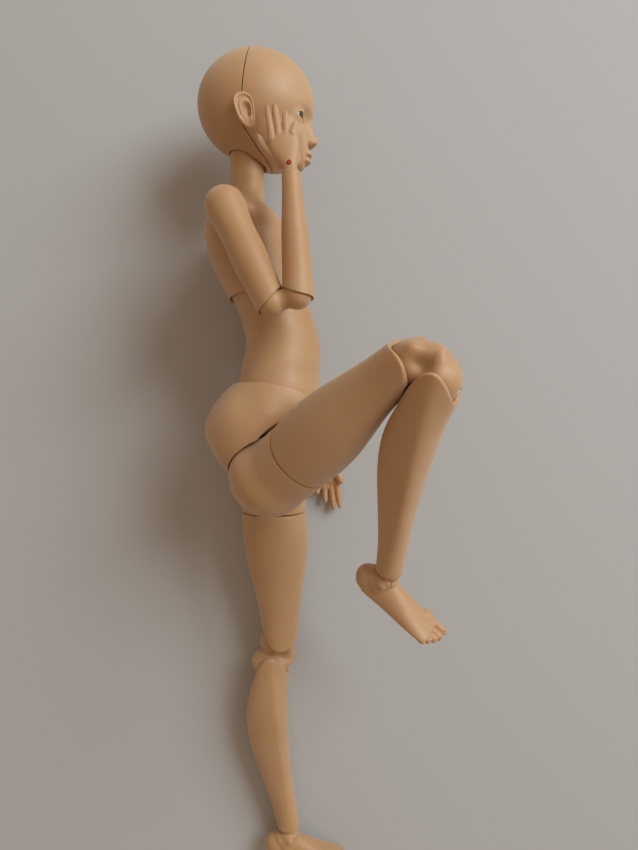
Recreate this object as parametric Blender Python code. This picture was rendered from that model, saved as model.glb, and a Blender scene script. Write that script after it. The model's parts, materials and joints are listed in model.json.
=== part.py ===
import bpy
import bmesh
from math import acos, cos, pi, radians, sin, sqrt
from mathutils import Matrix, Vector

# Ball jointed doll lying on its left side, one hand at its cheek and one knee drawn up.
# X is the way the body faces, Y runs to the crown, Z is up and is also the doll's right.

for old_object in list(bpy.data.objects):
    bpy.data.objects.remove(old_object, do_unlink=True)

MM = 0.001

# Gaps and facets
GAP = 0.3 * MM
CUP_GAP = 0.65 * MM
SOCKET_GAP = 0.6 * MM
LIMB_SIDES = 16
TORSO_SIDES = 20
FINGER_SIDES = 7
CORD_SIDES = 8
SOCKET_RINGS = 4
HALF_OPEN = pi / 2
EGG_TURN = 0.13

# Places of the joints in the torso, from the waist joint
MIDDLE_HEIGHT = 46.5 * MM
RIB_FORWARD = -5.5 * MM
RIB_UP = 44 * MM
NECK_FORWARD = -12.2 * MM
NECK_UP = 84.2 * MM
SHOULDER_FORWARD = -18.9 * MM
SHOULDER_UP = 46.2 * MM
SHOULDER_ASIDE = 36 * MM
HIP_FORWARD = -3 * MM
HIP_UP = -44 * MM
HIP_ASIDE = 24 * MM

# Lengths of the limbs between joint centres
UPPER_ARM_LENGTH = 56 * MM
ELBOW_LENGTH = 13 * MM
FOREARM_LENGTH = 63 * MM
THIGH_LENGTH = 103 * MM
KNEE_LENGTH = 13.5 * MM
SHIN_LENGTH = 103 * MM

# Pose. Turns are in degrees about the doll's own left to right axis, from straight down.
# Lifts are degrees away from the ground.
RIGHT_ARM_TURN = 25.4
RIGHT_ARM_LIFT = 10.6
RIGHT_FOREARM_TURN = 183.2
RIGHT_FOREARM_LIFT = -8
RIGHT_THIGH_TURN = 129.4
RIGHT_THIGH_LIFT = 36.5
RIGHT_SHIN_TURN = -9.5
RIGHT_SHIN_LIFT = -27.3
RIGHT_FOOT_BEND = 74
RIGHT_HAND_TURN = 193.8
RIGHT_HAND_LIFT = -8
LEFT_ARM_TURN = 19
LEFT_ARM_LIFT = -2
LEFT_FOREARM_BEND = 2
LEFT_HAND_BEND = -10
LEFT_THIGH_TURN = 0
LEFT_THIGH_LIFT = -3
LEFT_KNEE_SETBACK = 16
LEFT_SHIN_TURN = 6
LEFT_FOOT_BEND = 78

# Chest and neck: height above the rib joint, back, front and half width
CHEST_SEAM = (4 * MM, -20.6 * MM, 20.2 * MM, 24.2 * MM)
CHEST_LOW = (15 * MM, -26 * MM, 19.4 * MM, 25.2 * MM)
CHEST_RIBS = (26 * MM, -31.5 * MM, 15.5 * MM, 25.6 * MM)
CHEST_BROAD = (40 * MM, -34.5 * MM, 12 * MM, 25.6 * MM)
CHEST_HIGH = (50 * MM, -34 * MM, 7 * MM, 29 * MM)
CHEST_SHOULDER = (55 * MM, -30.5 * MM, 1.5 * MM, 23 * MM)
NECK_BASE = (60 * MM, -25 * MM, -2 * MM, 14 * MM)
NECK_LOW = (66 * MM, -22.2 * MM, -2.6 * MM, 10 * MM)
NECK_HIGH = (75 * MM, -21.4 * MM, -2.8 * MM, 9.2 * MM)
NECK_BALL_RADIUS = 9.4 * MM
NECK_BORE = 2.4 * MM
RIB_RADIUS = 22 * MM
RIB_HALF_WIDTH = 26.2 * MM
CHEST_HOLLOW_FORWARD = -6 * MM
CHEST_HOLLOW_UP = 26 * MM
CHEST_HOLLOW_DEPTH = 13 * MM
CHEST_HOLLOW_HEIGHT = 26 * MM
CHEST_HOLLOW_WIDTH = 18 * MM

# Abdomen: height above the waist joint, back, front and half width
BELLY_SEAM = (52 * MM, -26 * MM, 15 * MM, 24.2 * MM)
BELLY_HIGH = (42 * MM, -21.5 * MM, 18.5 * MM, 23.4 * MM)
BELLY_MIDDLE = (30 * MM, -18.6 * MM, 22 * MM, 23.4 * MM)
BELLY_FULL = (17 * MM, -19.6 * MM, 23 * MM, 25 * MM)
BELLY_LOW = (9 * MM, -21.2 * MM, 22.2 * MM, 25.9 * MM)
WAIST_RADIUS = 23 * MM
WAIST_HALF_WIDTH = 27 * MM
BELLY_BORE = 2.4 * MM
BELLY_FLOOR = 17 * MM
DOME_OVERLAP = 1 * MM
BELLY_HOLLOW_DEPTH = 14 * MM
BELLY_HOLLOW_WIDTH = 16 * MM

# Pelvis: height above the waist joint, back, front and half width
PELVIS_RIM = (-1 * MM, -26 * MM, 25.6 * MM, 30 * MM)
PELVIS_HIGH = (-7 * MM, -32.5 * MM, 24.5 * MM, 32.5 * MM)
PELVIS_BROAD = (-16 * MM, -38 * MM, 20 * MM, 34.5 * MM)
PELVIS_SEAT = (-25 * MM, -39 * MM, 15 * MM, 35 * MM)
PELVIS_LOW = (-35 * MM, -35 * MM, 9.5 * MM, 32 * MM)
PELVIS_FORK = (-46 * MM, -26 * MM, 3.5 * MM, 24 * MM)
PELVIS_CROTCH = (-54 * MM, -16 * MM, -4 * MM, 9 * MM)
PELVIS_RIM_FRONT = -8.5 * MM
PELVIS_RIM_BACK = 3.5 * MM
PELVIS_RIM_SIDE = 2.5 * MM
HIP_RADIUS = 21.5 * MM
PELVIS_BORE = 2.4 * MM

# Head: half sizes of the skull and the places of its parts from the neck joint
SKULL_FORWARD = 5 * MM
SKULL_UP = 29.2 * MM
SKULL_DEPTH = 32 * MM
SKULL_HEIGHT = 29.6 * MM
SKULL_HALF_WIDTH = 27.5 * MM
JAW_FORWARD = 15 * MM
JAW_UP = 7.5 * MM
JAW_DEPTH = 18.6 * MM
JAW_HEIGHT = 14 * MM
JAW_HALF_WIDTH = 18.5 * MM
CHIN_FORWARD = 26.5 * MM
CHIN_UP = 0.6 * MM
CHIN_SIZE = 6 * MM
NOSE_FORWARD = 35.4 * MM
NOSE_UP = 10 * MM
NOSE_SIZE = 3.8 * MM
NOSE_LENGTH = 6.5 * MM
LIPS_FORWARD = 31.8 * MM
LIPS_UP = 1.6 * MM
LIPS_DEPTH = 4 * MM
LIPS_HEIGHT = 4.2 * MM
LIPS_HALF_WIDTH = 8 * MM
EAR_FORWARD = 1.5 * MM
EAR_UP = 14.5 * MM
EAR_ASIDE = 24.6 * MM
EAR_DEPTH = 5.6 * MM
EAR_HEIGHT = 9 * MM
EAR_THICK = 2 * MM
EYE_FORWARD = 24.2 * MM
EYE_UP = 19.2 * MM
EYE_ASIDE = 11 * MM
EYE_RADIUS = 6 * MM
EYE_OPENING_DEPTH = 12 * MM
EYE_OPENING_HALF_WIDTH = 4.6 * MM
EYE_OPENING_HALF_HEIGHT = 2.3 * MM
SEAM_FORWARD = 0.6 * MM
SEAM_TURN_UP = 6.6 * MM
SEAM_JAW_FORWARD = 20 * MM
SEAM_JAW_UP = -12 * MM
HEAD_HOLLOW_UP = 29.6 * MM
HEAD_HOLLOW_HEIGHT = 24 * MM
HEAD_HOLLOW_DEPTH = 28.4 * MM
HEAD_HOLLOW_WIDTH = 24 * MM
NECK_HOLE_RADIUS = 12.6 * MM
NECK_HOLE_DROP = 11 * MM
NECK_HOOK_HOLE = 6.4 * MM
NECK_HOOK_REACH = 14 * MM
MAGNET_RADIUS = 1.5 * MM
MAGNET_LENGTH = 1.8 * MM
CROWN_MAGNET_UP = 56.1 * MM
CHEEK_MAGNET_UP = 12 * MM
CHEEK_MAGNET_ASIDE = 19.2 * MM

# Upper arm: distance from the shoulder, front, back and half width
ARM_BALL_RADIUS = 10.4 * MM
ARM_HIGH = (6 * MM, 10.2 * MM, 10.2 * MM, 9.8 * MM)
ARM_UPPER = (18 * MM, 10 * MM, 10 * MM, 9.6 * MM)
ARM_MIDDLE = (30 * MM, 9.4 * MM, 9.6 * MM, 9.2 * MM)
ARM_LOWER = (40 * MM, 8.4 * MM, 8.6 * MM, 8.4 * MM)
ARM_END = (51 * MM, 7.9 * MM, 8.1 * MM, 8 * MM)
ARM_BORE = 1.9 * MM

# Elbow, a bean with a ball at each end
ELBOW_BALL = 7 * MM
ELBOW_WAIST = 4.9 * MM
ARM_RIM_FRONT = 4.2 * MM
ARM_RIM_BACK = -2 * MM
ARM_RIM_SIDE = -0.5 * MM

# Forearm: distance from the elbow, front, back and half width
FOREARM_TOP = (4 * MM, 7 * MM, 8 * MM, 7.9 * MM)
FOREARM_UPPER = (15 * MM, 6.6 * MM, 7.8 * MM, 7.6 * MM)
FOREARM_MIDDLE = (32 * MM, 6.1 * MM, 7 * MM, 7 * MM)
FOREARM_LOWER = (48 * MM, 5.1 * MM, 5.6 * MM, 6 * MM)
FOREARM_END = (62 * MM, 4.5 * MM, 4.9 * MM, 5.4 * MM)
WRIST_BALL = 3.7 * MM
WRIST_RIM = 0.8 * MM

# Hand: distances from the wrist along the hand and towards the thumb
HAND_THICK = 3.1 * MM
PALM_START = 2.4 * MM
PALM_START_HALF = 4.3 * MM
PALM_MIDDLE = 10 * MM
PALM_MIDDLE_HALF = 7.2 * MM
PALM_END = 19.5 * MM
PALM_END_HALF = 7.6 * MM
FINGER_ROOT = 17.5 * MM
FINGER_RADIUS = 1.9 * MM
FINGER_CURL = 1.6 * MM
INDEX_ASIDE = 5 * MM
INDEX_LENGTH = 38.5 * MM
INDEX_SPREAD = 3.6 * MM
MIDDLE_ASIDE = 1.5 * MM
MIDDLE_LENGTH = 39.5 * MM
MIDDLE_SPREAD = -0.6 * MM
RING_ASIDE = -2.1 * MM
RING_LENGTH = 36 * MM
RING_SPREAD = -4.6 * MM
LITTLE_ASIDE = -5.4 * MM
LITTLE_LENGTH = 30 * MM
LITTLE_SPREAD = -8.2 * MM
THUMB_ASIDE = 3.6 * MM
THUMB_START = 7 * MM
THUMB_LENGTH = 24.5 * MM
THUMB_SPREAD = 11.6 * MM
THUMB_RADIUS = 2.3 * MM
THUMB_PALMWARD = 2.6 * MM

# Hip cap: distance from the hip joint, front, back and half width
HIP_CAP_END = (24.6 * MM, 17.2 * MM, 20.2 * MM, 18.4 * MM)
HIP_CAP_MIDDLE = (12 * MM, 17.2 * MM, 20.8 * MM, 18.6 * MM)
HIP_BORE = 2.2 * MM
HIP_CORE = 15.5 * MM
HIP_FLOOR = 4 * MM

# Thigh: distance from the hip joint, front, back and half width
THIGH_TOP = (25 * MM, 17.2 * MM, 20.2 * MM, 18.4 * MM)
THIGH_SPREAD = THIGH_LENGTH - THIGH_TOP[0]
THIGH_HIGH_SHARE = 13 / 78
THIGH_UPPER_SHARE = 27 / 78
THIGH_MIDDLE_SHARE = 41 / 78
THIGH_LOWER_SHARE = 55 / 78
THIGH_END_SHARE = 71 / 78
THIGH_HIGH = (THIGH_TOP[0] + THIGH_SPREAD * THIGH_HIGH_SHARE, 18.6 * MM, 20 * MM, 19.4 * MM)
THIGH_UPPER = (THIGH_TOP[0] + THIGH_SPREAD * THIGH_UPPER_SHARE, 18 * MM, 18.6 * MM, 18.6 * MM)
THIGH_MIDDLE = (THIGH_TOP[0] + THIGH_SPREAD * THIGH_MIDDLE_SHARE, 16 * MM, 15.4 * MM, 16.4 * MM)
THIGH_LOWER = (THIGH_TOP[0] + THIGH_SPREAD * THIGH_LOWER_SHARE, 13.8 * MM, 12 * MM, 14.4 * MM)
THIGH_END = (THIGH_TOP[0] + THIGH_SPREAD * THIGH_END_SHARE, 12.4 * MM, 9.4 * MM, 13.2 * MM)
THIGH_WALL = 3.2 * MM
THIGH_BORE = 2.2 * MM

# Knee, a bean with a ball at each end and a kneecap on its front
KNEE_BALL = 10 * MM
KNEE_WAIST = 7.6 * MM
KNEECAP_FORWARD = 5.6 * MM
KNEECAP_RADIUS = 7.4 * MM
THIGH_RIM_FRONT = 2.4 * MM
THIGH_RIM_BACK = 9.6 * MM
THIGH_RIM_SIDE = -1.5 * MM
THIGH_SKIRT_BACK = 12.5 * MM
SHIN_RIM_FRONT = 9 * MM
SHIN_RIM_BACK = 9.6 * MM
SHIN_RIM_SIDE = 0.5 * MM
SHIN_SKIRT_BACK = 12.5 * MM

# Shin: distance from the knee, front, back and half width
SHIN_TOP = (10 * MM, 10.2 * MM, 12.8 * MM, 13.2 * MM)
SHIN_HIGH = (21 * MM, 7.8 * MM, 16.6 * MM, 13.4 * MM)
SHIN_CALF = (31 * MM, 6.8 * MM, 18.4 * MM, 13.2 * MM)
SHIN_MIDDLE = (46 * MM, 5.6 * MM, 17.6 * MM, 12.2 * MM)
SHIN_LOWER = (66 * MM, 5 * MM, 13.4 * MM, 9.8 * MM)
SHIN_NARROW = (86 * MM, 5.4 * MM, 9 * MM, 7.4 * MM)
SHIN_END = (101 * MM, 6.4 * MM, 7 * MM, 6.8 * MM)
ANKLE_BALL = 5.3 * MM
ANKLE_RIM = 1 * MM

# Foot: distances from the ankle, forward along the sole and down to it
SOLE_DROP = 17 * MM
SOLE_EDGE = 1.4 * MM
SOLE_FULLNESS = 2.2 * MM
SOLE_CUT = 60 * MM
HEEL_BACK = -12 * MM
HEEL_HALF = 5.6 * MM
HEEL_RISE = 9 * MM
HEEL_MIDDLE = -6 * MM
HEEL_MIDDLE_HALF = 7.2 * MM
HEEL_MIDDLE_RISE = 14 * MM
INSTEP = 5 * MM
INSTEP_HALF = 7 * MM
INSTEP_RISE = 14.5 * MM
ARCH = 15 * MM
ARCH_HALF = 8 * MM
ARCH_RISE = 10.4 * MM
FOOT_BALL = 26 * MM
FOOT_BALL_HALF = 9.4 * MM
FOOT_BALL_RISE = 7 * MM
TOE_ROOT = 32 * MM
TOE_ROOT_HALF = 9.2 * MM
TOE_ROOT_RISE = 5.2 * MM
TOE_RADIUS = 2 * MM
TOE_RISE = 0.25 * MM
TOE_START = 29 * MM
BIG_TOE_RADIUS = 2.9 * MM
BIG_TOE_ASIDE = -5.6 * MM
BIG_TOE_TIP = 39.5 * MM
SECOND_TOE_ASIDE = -1.5 * MM
SECOND_TOE_TIP = 39 * MM
THIRD_TOE_ASIDE = 1.9 * MM
THIRD_TOE_TIP = 37.4 * MM
FOURTH_TOE_ASIDE = 4.9 * MM
FOURTH_TOE_TIP = 35.2 * MM
FIFTH_TOE_ASIDE = 7.4 * MM
FIFTH_TOE_TIP = 32.8 * MM

# Elastic and hooks
ARM_CORD = 1.6 * MM
LEG_CORD = 1.9 * MM
TORSO_CORD = 2.1 * MM
CORD_END = 0.4 * MM
HOOK_WIRE = 0.6 * MM
HOOK_KNOB = 1.1 * MM
HOOK_FOOT = 1.5 * MM
HOOK_FOOT_SHARE = 0.5
HOOK_SEAT = 1.4 * MM
HOOK_LENGTH = 9 * MM
WRIST_MOUTH = 2.5 * MM
ANKLE_MOUTH = 3.2 * MM
HEAD_HOOK_WIRE = 0.9 * MM
HEAD_HOOK_HALF = 4.6 * MM
HEAD_HOOK_SEAT = 0.85 * MM
HEAD_HOOK_SHANK = 5 * MM
SHANK_SHARE = 0.85
PELVIS_CORD_END = -47.5 * MM
BEAD_RADIUS = 1.15 * MM
BEAD_UP = 3.4 * MM
BEAD_OUT = 2.5 * MM
BEAD_HOLE_RADIUS = 1.65 * MM
BEAD_HOLE_START = 0.6 * MM
BEAD_HOLE_END = 6 * MM

scene_collection = bpy.context.scene.collection
doll_collection = bpy.data.collections.new("ball_jointed_doll")
cutter_collection = bpy.data.collections.new("cutting_shapes")
scene_collection.children.link(doll_collection)
scene_collection.children.link(cutter_collection)


def material(name, colour, roughness, metallic):
    made = bpy.data.materials.new(name)
    made.use_nodes = True
    shader = made.node_tree.nodes["Principled BSDF"]
    shader.inputs["Base Color"].default_value = (colour[0], colour[1], colour[2], 1.0)
    shader.inputs["Roughness"].default_value = roughness
    shader.inputs["Metallic"].default_value = metallic
    made.diffuse_color = (colour[0], colour[1], colour[2], 1.0)
    made.roughness = roughness
    made.metallic = metallic
    return made


RESIN_COLOUR = (0.62, 0.40, 0.255)
RED_ELASTIC_COLOUR = (0.45, 0.03, 0.025)
WHITE_ELASTIC_COLOUR = (0.72, 0.70, 0.66)
STEEL_COLOUR = (0.55, 0.55, 0.56)
MAGNET_COLOUR = (0.38, 0.38, 0.40)
EYE_COLOUR = (0.70, 0.66, 0.60)
RESIN_ROUGHNESS = 0.55
ELASTIC_ROUGHNESS = 0.8
STEEL_ROUGHNESS = 0.3
EYE_ROUGHNESS = 0.15


def resin(name):
    return material(name + "_resin", RESIN_COLOUR, RESIN_ROUGHNESS, 0)


def red_elastic(name):
    return material(name + "_rubber", RED_ELASTIC_COLOUR, ELASTIC_ROUGHNESS, 0)


def white_elastic(name):
    return material(name + "_rubber", WHITE_ELASTIC_COLOUR, ELASTIC_ROUGHNESS, 0)


def steel(name):
    return material(name + "_steel", STEEL_COLOUR, STEEL_ROUGHNESS, 1)


# Joint frames: every one is an empty, in a chain from the pelvis outwards
frame_worlds = {}


def joint_frame(name, parent_name, world):
    empty = bpy.data.objects.new(name, None)
    empty.empty_display_size = KNEE_BALL
    doll_collection.objects.link(empty)
    frame_worlds[name] = world
    local = world
    if parent_name:
        empty.parent = bpy.data.objects[parent_name]
        local = frame_worlds[parent_name].inverted() @ world
    empty.location = local.to_translation()
    empty.rotation_mode = "QUATERNION"
    empty.rotation_quaternion = local.to_quaternion()
    return empty


def frame_at(place, along, front):
    down = along.normalized()
    side = down.cross(front).normalized()
    forward = side.cross(down)
    turned = Matrix((forward, side, down)).transposed().to_4x4()
    turned.translation = place
    return turned


def direction(turn, lift):
    flat = cos(radians(lift))
    return Vector((flat * sin(radians(turn)), -flat * cos(radians(turn)), sin(radians(lift))))


def bent(frame, angle, drop):
    # The next frame of a hinge: moved down by drop, then turned about the side axis
    step = Matrix.Translation((0, 0, drop)) @ Matrix.Rotation(angle, 4, "Y")
    return frame @ step


def finished(name, mesh_builder, parent_name, look, smooth=True, home=None):
    mesh = bpy.data.meshes.new(name)
    bmesh.ops.recalc_face_normals(mesh_builder, faces=mesh_builder.faces[:])
    if mesh_builder.calc_volume(signed=True) < 0:
        bmesh.ops.reverse_faces(mesh_builder, faces=mesh_builder.faces[:])
    for face in mesh_builder.faces:
        face.smooth = smooth
    mesh_builder.to_mesh(mesh)
    mesh_builder.free()
    made = bpy.data.objects.new(name, mesh)
    (home or doll_collection).objects.link(made)
    if look:
        mesh.materials.append(look)
    if parent_name:
        made.parent = bpy.data.objects[parent_name]
    return made


def hide_cutter(cutter):
    cutter.hide_render = True
    cutter.display_type = "WIRE"
    return cutter


def ring(sides, place):
    return [place(2 * pi * step / sides) for step in range(sides)]


def skin(rings, closed):
    # A loft between unlike rings with the same count of points
    builder = bmesh.new()
    laid = [[builder.verts.new(point) for point in points] for points in rings]
    sides = len(laid[0])
    spans = len(laid) if closed else len(laid) - 1
    for row in range(spans):
        near = laid[row]
        far = laid[(row + 1) % len(laid)]
        for step in range(sides):
            after = (step + 1) % sides
            builder.faces.new((near[step], near[after], far[after], far[step]))
    if not closed:
        builder.faces.new(laid[0])
        builder.faces.new(laid[-1])
    return builder


def blended(stations, place):
    # Smooth values between stations, by a cubic through the neighbours
    last = len(stations) - 1
    index = 0
    rising = stations[-1][0] > stations[0][0]
    while index < last - 1 and (place > stations[index + 1][0]) == rising:
        index += 1
    one = stations[index]
    two = stations[index + 1]
    before = stations[max(index - 1, 0)]
    after = stations[min(index + 2, last)]
    span = two[0] - one[0]
    share = min(max((place - one[0]) / span, 0), 1)
    values = []
    for field in range(1, len(one)):
        start_rate = (two[field] - before[field]) / (two[0] - before[0]) * span
        end_rate = (after[field] - one[field]) / (after[0] - one[0]) * span
        square = share * share
        cube = square * share
        value = (2 * cube - 3 * square + 1) * one[field] + (cube - 2 * square + share) * start_rate
        value += (3 * square - 2 * cube) * two[field] + (cube - square) * end_rate
        values.append(value)
    return values


def limb_radius(values, angle):
    front, back, half = values
    lengthwise = front if cos(angle) > 0 else back
    return Vector((lengthwise * cos(angle), half * sin(angle)))


def rim_height(front, back, side, angle):
    wave = (front - back) / 2
    mean = (front + back) / 2
    double = (mean - side) / 2
    return (mean + side) / 2 + wave * cos(angle) + double * cos(2 * angle)


def socket_rings(centre, radius, facing, heights, bore):
    # The hollow that a ball turns in, from its rim to the bore
    rings = []
    for step in range(SOCKET_RINGS + 1):
        share = step / SOCKET_RINGS

        def place(angle):
            rim = acos(rim_height(*heights, angle) / radius)
            inner = acos(sqrt(radius * radius - bore * bore) / radius)
            polar = rim + (inner - rim) * share
            # Beyond its middle the cup has straight walls, so that the ball goes in
            spread = radius * sin(min(polar, HALF_OPEN))
            depth = centre - facing * radius * cos(polar)
            return Vector((spread * cos(angle), spread * sin(angle), depth))

        rings.append(ring(LIMB_SIDES, place))
    return rings


def ball_rings(radius, bore, last_polar, count):
    # A ball at the near end of a limb, from the bore outwards
    first_polar = acos(sqrt(radius * radius - bore * bore) / radius)
    rings = []
    for step in range(count):
        polar = first_polar + (last_polar - first_polar) * step / count

        def place(angle):
            spread = radius * sin(polar)
            return Vector((spread * cos(angle), spread * sin(angle), -radius * cos(polar)))

        rings.append(ring(LIMB_SIDES, place))
    return rings


def outer_rings(stations, rows, start_of, end_of):
    # The outside of a limb: every column runs from its own start to its own end
    rings = []
    near = stations[0][0]
    far = stations[-1][0]
    for row in range(rows + 1):
        share = row / rows
        values = blended(stations, near + (far - near) * share)

        def place(angle):
            flat = limb_radius(values, angle)
            depth = start_of(angle) + (end_of(angle) - start_of(angle)) * share
            return Vector((flat.x, flat.y, depth))

        rings.append(ring(LIMB_SIDES, place))
    return rings


def drop_to(value):
    return lambda angle: value


BALL_RINGS = 4
BEAN_RINGS = 5
ARM_ROWS = 7
FOREARM_ROWS = 7
THIGH_ROWS = 8
SHIN_ROWS = 9
HIP_ROWS = 3


def build_upper_arm(name, parent_name):
    heights = (ARM_RIM_FRONT, ARM_RIM_BACK, ARM_RIM_SIDE)
    stations = (ARM_HIGH, ARM_UPPER, ARM_MIDDLE, ARM_LOWER, ARM_END)
    rings = ball_rings(ARM_BALL_RADIUS, ARM_BORE, HALF_OPEN, BALL_RINGS)
    rings += outer_rings(stations, ARM_ROWS, drop_to(ARM_HIGH[0]),
                         lambda angle: UPPER_ARM_LENGTH - rim_height(*heights, angle))
    rings += socket_rings(UPPER_ARM_LENGTH, ELBOW_BALL + SOCKET_GAP, 1, heights, ARM_BORE)
    return finished(name, skin(rings, True), parent_name, resin(name))


def bean(name, parent_name, ball, waist, length, cap_forward, cap_radius, bore):
    # Two balls and a waist between them, lofted as one closed tube round the bore
    rings = []
    first_polar = acos(sqrt(ball * ball - bore * bore) / ball)
    last_polar = pi - acos(sqrt(ball * ball - waist * waist) / ball)
    for step in range(BEAN_RINGS + 1):
        polar = first_polar + (last_polar - first_polar) * step / BEAN_RINGS
        rings.append(bean_ring(ball * sin(polar), -ball * cos(polar), cap_forward, cap_radius, length))
    for step in range(BEAN_RINGS + 1):
        polar = last_polar + (first_polar - last_polar) * step / BEAN_RINGS
        rings.append(bean_ring(ball * sin(polar), length + ball * cos(polar), cap_forward, cap_radius, length))
    return finished(name, skin(rings, True), parent_name, resin(name))


def bean_ring(spread, depth, cap_forward, cap_radius, length):
    def place(angle):
        across = spread * cos(angle)
        from_middle = depth - length / 2
        if cap_radius and abs(from_middle) < cap_radius:
            reach = cap_forward + sqrt(cap_radius * cap_radius - from_middle * from_middle)
            wanted = max(cos(angle), 0) ** 3
            across += wanted * max(reach - spread, 0)
        return Vector((across, spread * sin(angle), depth))

    return ring(LIMB_SIDES, place)


def build_forearm(name, parent_name):
    heights = (ARM_RIM_FRONT, ARM_RIM_BACK, ARM_RIM_SIDE)
    wrist = (WRIST_RIM, WRIST_RIM, WRIST_RIM)
    stations = (FOREARM_TOP, FOREARM_UPPER, FOREARM_MIDDLE, FOREARM_LOWER, FOREARM_END)
    rings = list(reversed(socket_rings(0, ELBOW_BALL + SOCKET_GAP, -1, heights, ARM_BORE)))
    rings += outer_rings(stations, FOREARM_ROWS, lambda angle: rim_height(*heights, angle),
                         drop_to(FOREARM_LENGTH - WRIST_RIM))
    rings += socket_rings(FOREARM_LENGTH, WRIST_BALL + SOCKET_GAP, 1, wrist, ARM_BORE)
    return finished(name, skin(rings, True), parent_name, resin(name))


def build_hip(name, parent_name):
    stations = (HIP_CAP_MIDDLE, HIP_CAP_END)
    rings = ball_rings(HIP_RADIUS, HIP_BORE, HALF_OPEN, BALL_RINGS)
    rings += outer_rings(stations, HIP_ROWS, drop_to(HIP_CAP_MIDDLE[0]), drop_to(HIP_CAP_END[0]))
    floor = HIP_FLOOR - HIP_RADIUS
    for radius, depth in ((HIP_CORE, HIP_CAP_END[0]), (HIP_CORE, 0), (HIP_BORE, floor)):
        rings.append(ring(LIMB_SIDES, lambda angle: Vector((radius * cos(angle), radius * sin(angle), depth))))
    return finished(name, skin(rings, True), parent_name, resin(name))


def build_thigh(name, parent_name):
    heights = (THIGH_RIM_FRONT, THIGH_RIM_BACK, THIGH_RIM_SIDE)
    skirt = (THIGH_RIM_FRONT, THIGH_SKIRT_BACK, THIGH_RIM_SIDE)
    stations = (THIGH_TOP, THIGH_HIGH, THIGH_UPPER, THIGH_MIDDLE, THIGH_LOWER, THIGH_END)
    rings = outer_rings(stations, THIGH_ROWS, drop_to(THIGH_TOP[0]),
                        lambda angle: THIGH_LENGTH - rim_height(*skirt, angle))
    rings += socket_rings(THIGH_LENGTH, KNEE_BALL + SOCKET_GAP, 1, heights, THIGH_BORE)
    for station in (THIGH_LOWER, THIGH_UPPER, THIGH_TOP):

        def place(angle):
            flat = limb_radius([value - THIGH_WALL for value in station[1:]], angle)
            return Vector((flat.x, flat.y, station[0]))

        rings.append(ring(LIMB_SIDES, place))
    return finished(name, skin(rings, True), parent_name, resin(name))


def build_shin(name, parent_name):
    heights = (SHIN_RIM_FRONT, SHIN_RIM_BACK, SHIN_RIM_SIDE)
    skirt = (SHIN_RIM_FRONT, SHIN_SKIRT_BACK, SHIN_RIM_SIDE)
    ankle = (ANKLE_RIM, ANKLE_RIM, ANKLE_RIM)
    stations = (SHIN_TOP, SHIN_HIGH, SHIN_CALF, SHIN_MIDDLE, SHIN_LOWER, SHIN_NARROW, SHIN_END)
    rings = list(reversed(socket_rings(0, KNEE_BALL + SOCKET_GAP, -1, heights, THIGH_BORE)))
    rings += outer_rings(stations, SHIN_ROWS, lambda angle: rim_height(*skirt, angle),
                         drop_to(SHIN_LENGTH - ANKLE_RIM))
    rings += socket_rings(SHIN_LENGTH, ANKLE_BALL + SOCKET_GAP, 1, ankle, THIGH_BORE)
    return finished(name, skin(rings, True), parent_name, resin(name))


def cut(target, cutter, operation="DIFFERENCE"):
    step = target.modifiers.new(operation.lower(), "BOOLEAN")
    step.operation = operation
    step.solver = "EXACT"
    step.object = cutter
    hide_cutter(cutter)
    return step


def rounded(name, parent_name, centre, depth, height, width, segments, rows, home=None):
    # An egg of the given half sizes
    builder = bmesh.new()
    bmesh.ops.create_uvsphere(builder, u_segments=segments, v_segments=rows, radius=1)
    bmesh.ops.rotate(builder, cent=(0, 0, 0), matrix=Matrix.Rotation(EGG_TURN, 3, "Z"), verts=builder.verts)
    bmesh.ops.scale(builder, vec=(depth, width, height), verts=builder.verts)
    bmesh.ops.rotate(builder, cent=(0, 0, 0), matrix=Matrix.Rotation(-HALF_OPEN, 3, "X"), verts=builder.verts)
    bmesh.ops.translate(builder, vec=centre, verts=builder.verts)
    return finished(name, builder, parent_name, None, True, home or cutter_collection)


def rod(name, parent_name, start, end, radius, sides, look=None, home=None):
    builder = bmesh.new()
    span = Vector(end) - Vector(start)
    bmesh.ops.create_cone(builder, cap_ends=True, segments=sides, radius1=radius, radius2=radius, depth=span.length)
    turn = span.to_track_quat("Z", "Y").to_matrix()
    bmesh.ops.rotate(builder, cent=(0, 0, 0), matrix=turn, verts=builder.verts)
    bmesh.ops.translate(builder, vec=(Vector(start) + Vector(end)) / 2, verts=builder.verts)
    return finished(name, builder, parent_name, look, True, home or cutter_collection)


def torso_ring(values, up_of):
    back, front, half = values
    middle = (front + back) / 2
    depth = (front - back) / 2

    def place(angle):
        return Vector((middle + depth * cos(angle), up_of(angle), half * sin(angle)))

    return ring(TORSO_SIDES, place)


def torso_rings(stations, rows, start_of=None, end_of=None):
    near = stations[0][0]
    far = stations[-1][0]
    start_of = start_of or drop_to(near)
    end_of = end_of or drop_to(far)
    rings = []
    for row in range(rows + 1):
        share = row / rows
        values = blended(stations, near + (far - near) * share)
        rings.append(torso_ring(values, lambda angle: start_of(angle) + (end_of(angle) - start_of(angle)) * share))
    return rings


def dome_rings(centre, radius, half, facing, bore, last_height, count):
    # A rounded end that turns in its neighbour's hollow, from the bore outwards
    first = acos(sqrt(1 - (bore / radius) ** 2))
    last = acos(last_height / radius)
    rings = []
    for step in range(count):
        polar = first + (last - first) * step / count
        middle = centre[0]
        spread = radius * sin(polar)
        values = (middle - spread, middle + spread, half * sin(polar))
        level = centre[1] + facing * radius * cos(polar)
        rings.append(torso_ring(values, drop_to(level)))
    return rings


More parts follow.
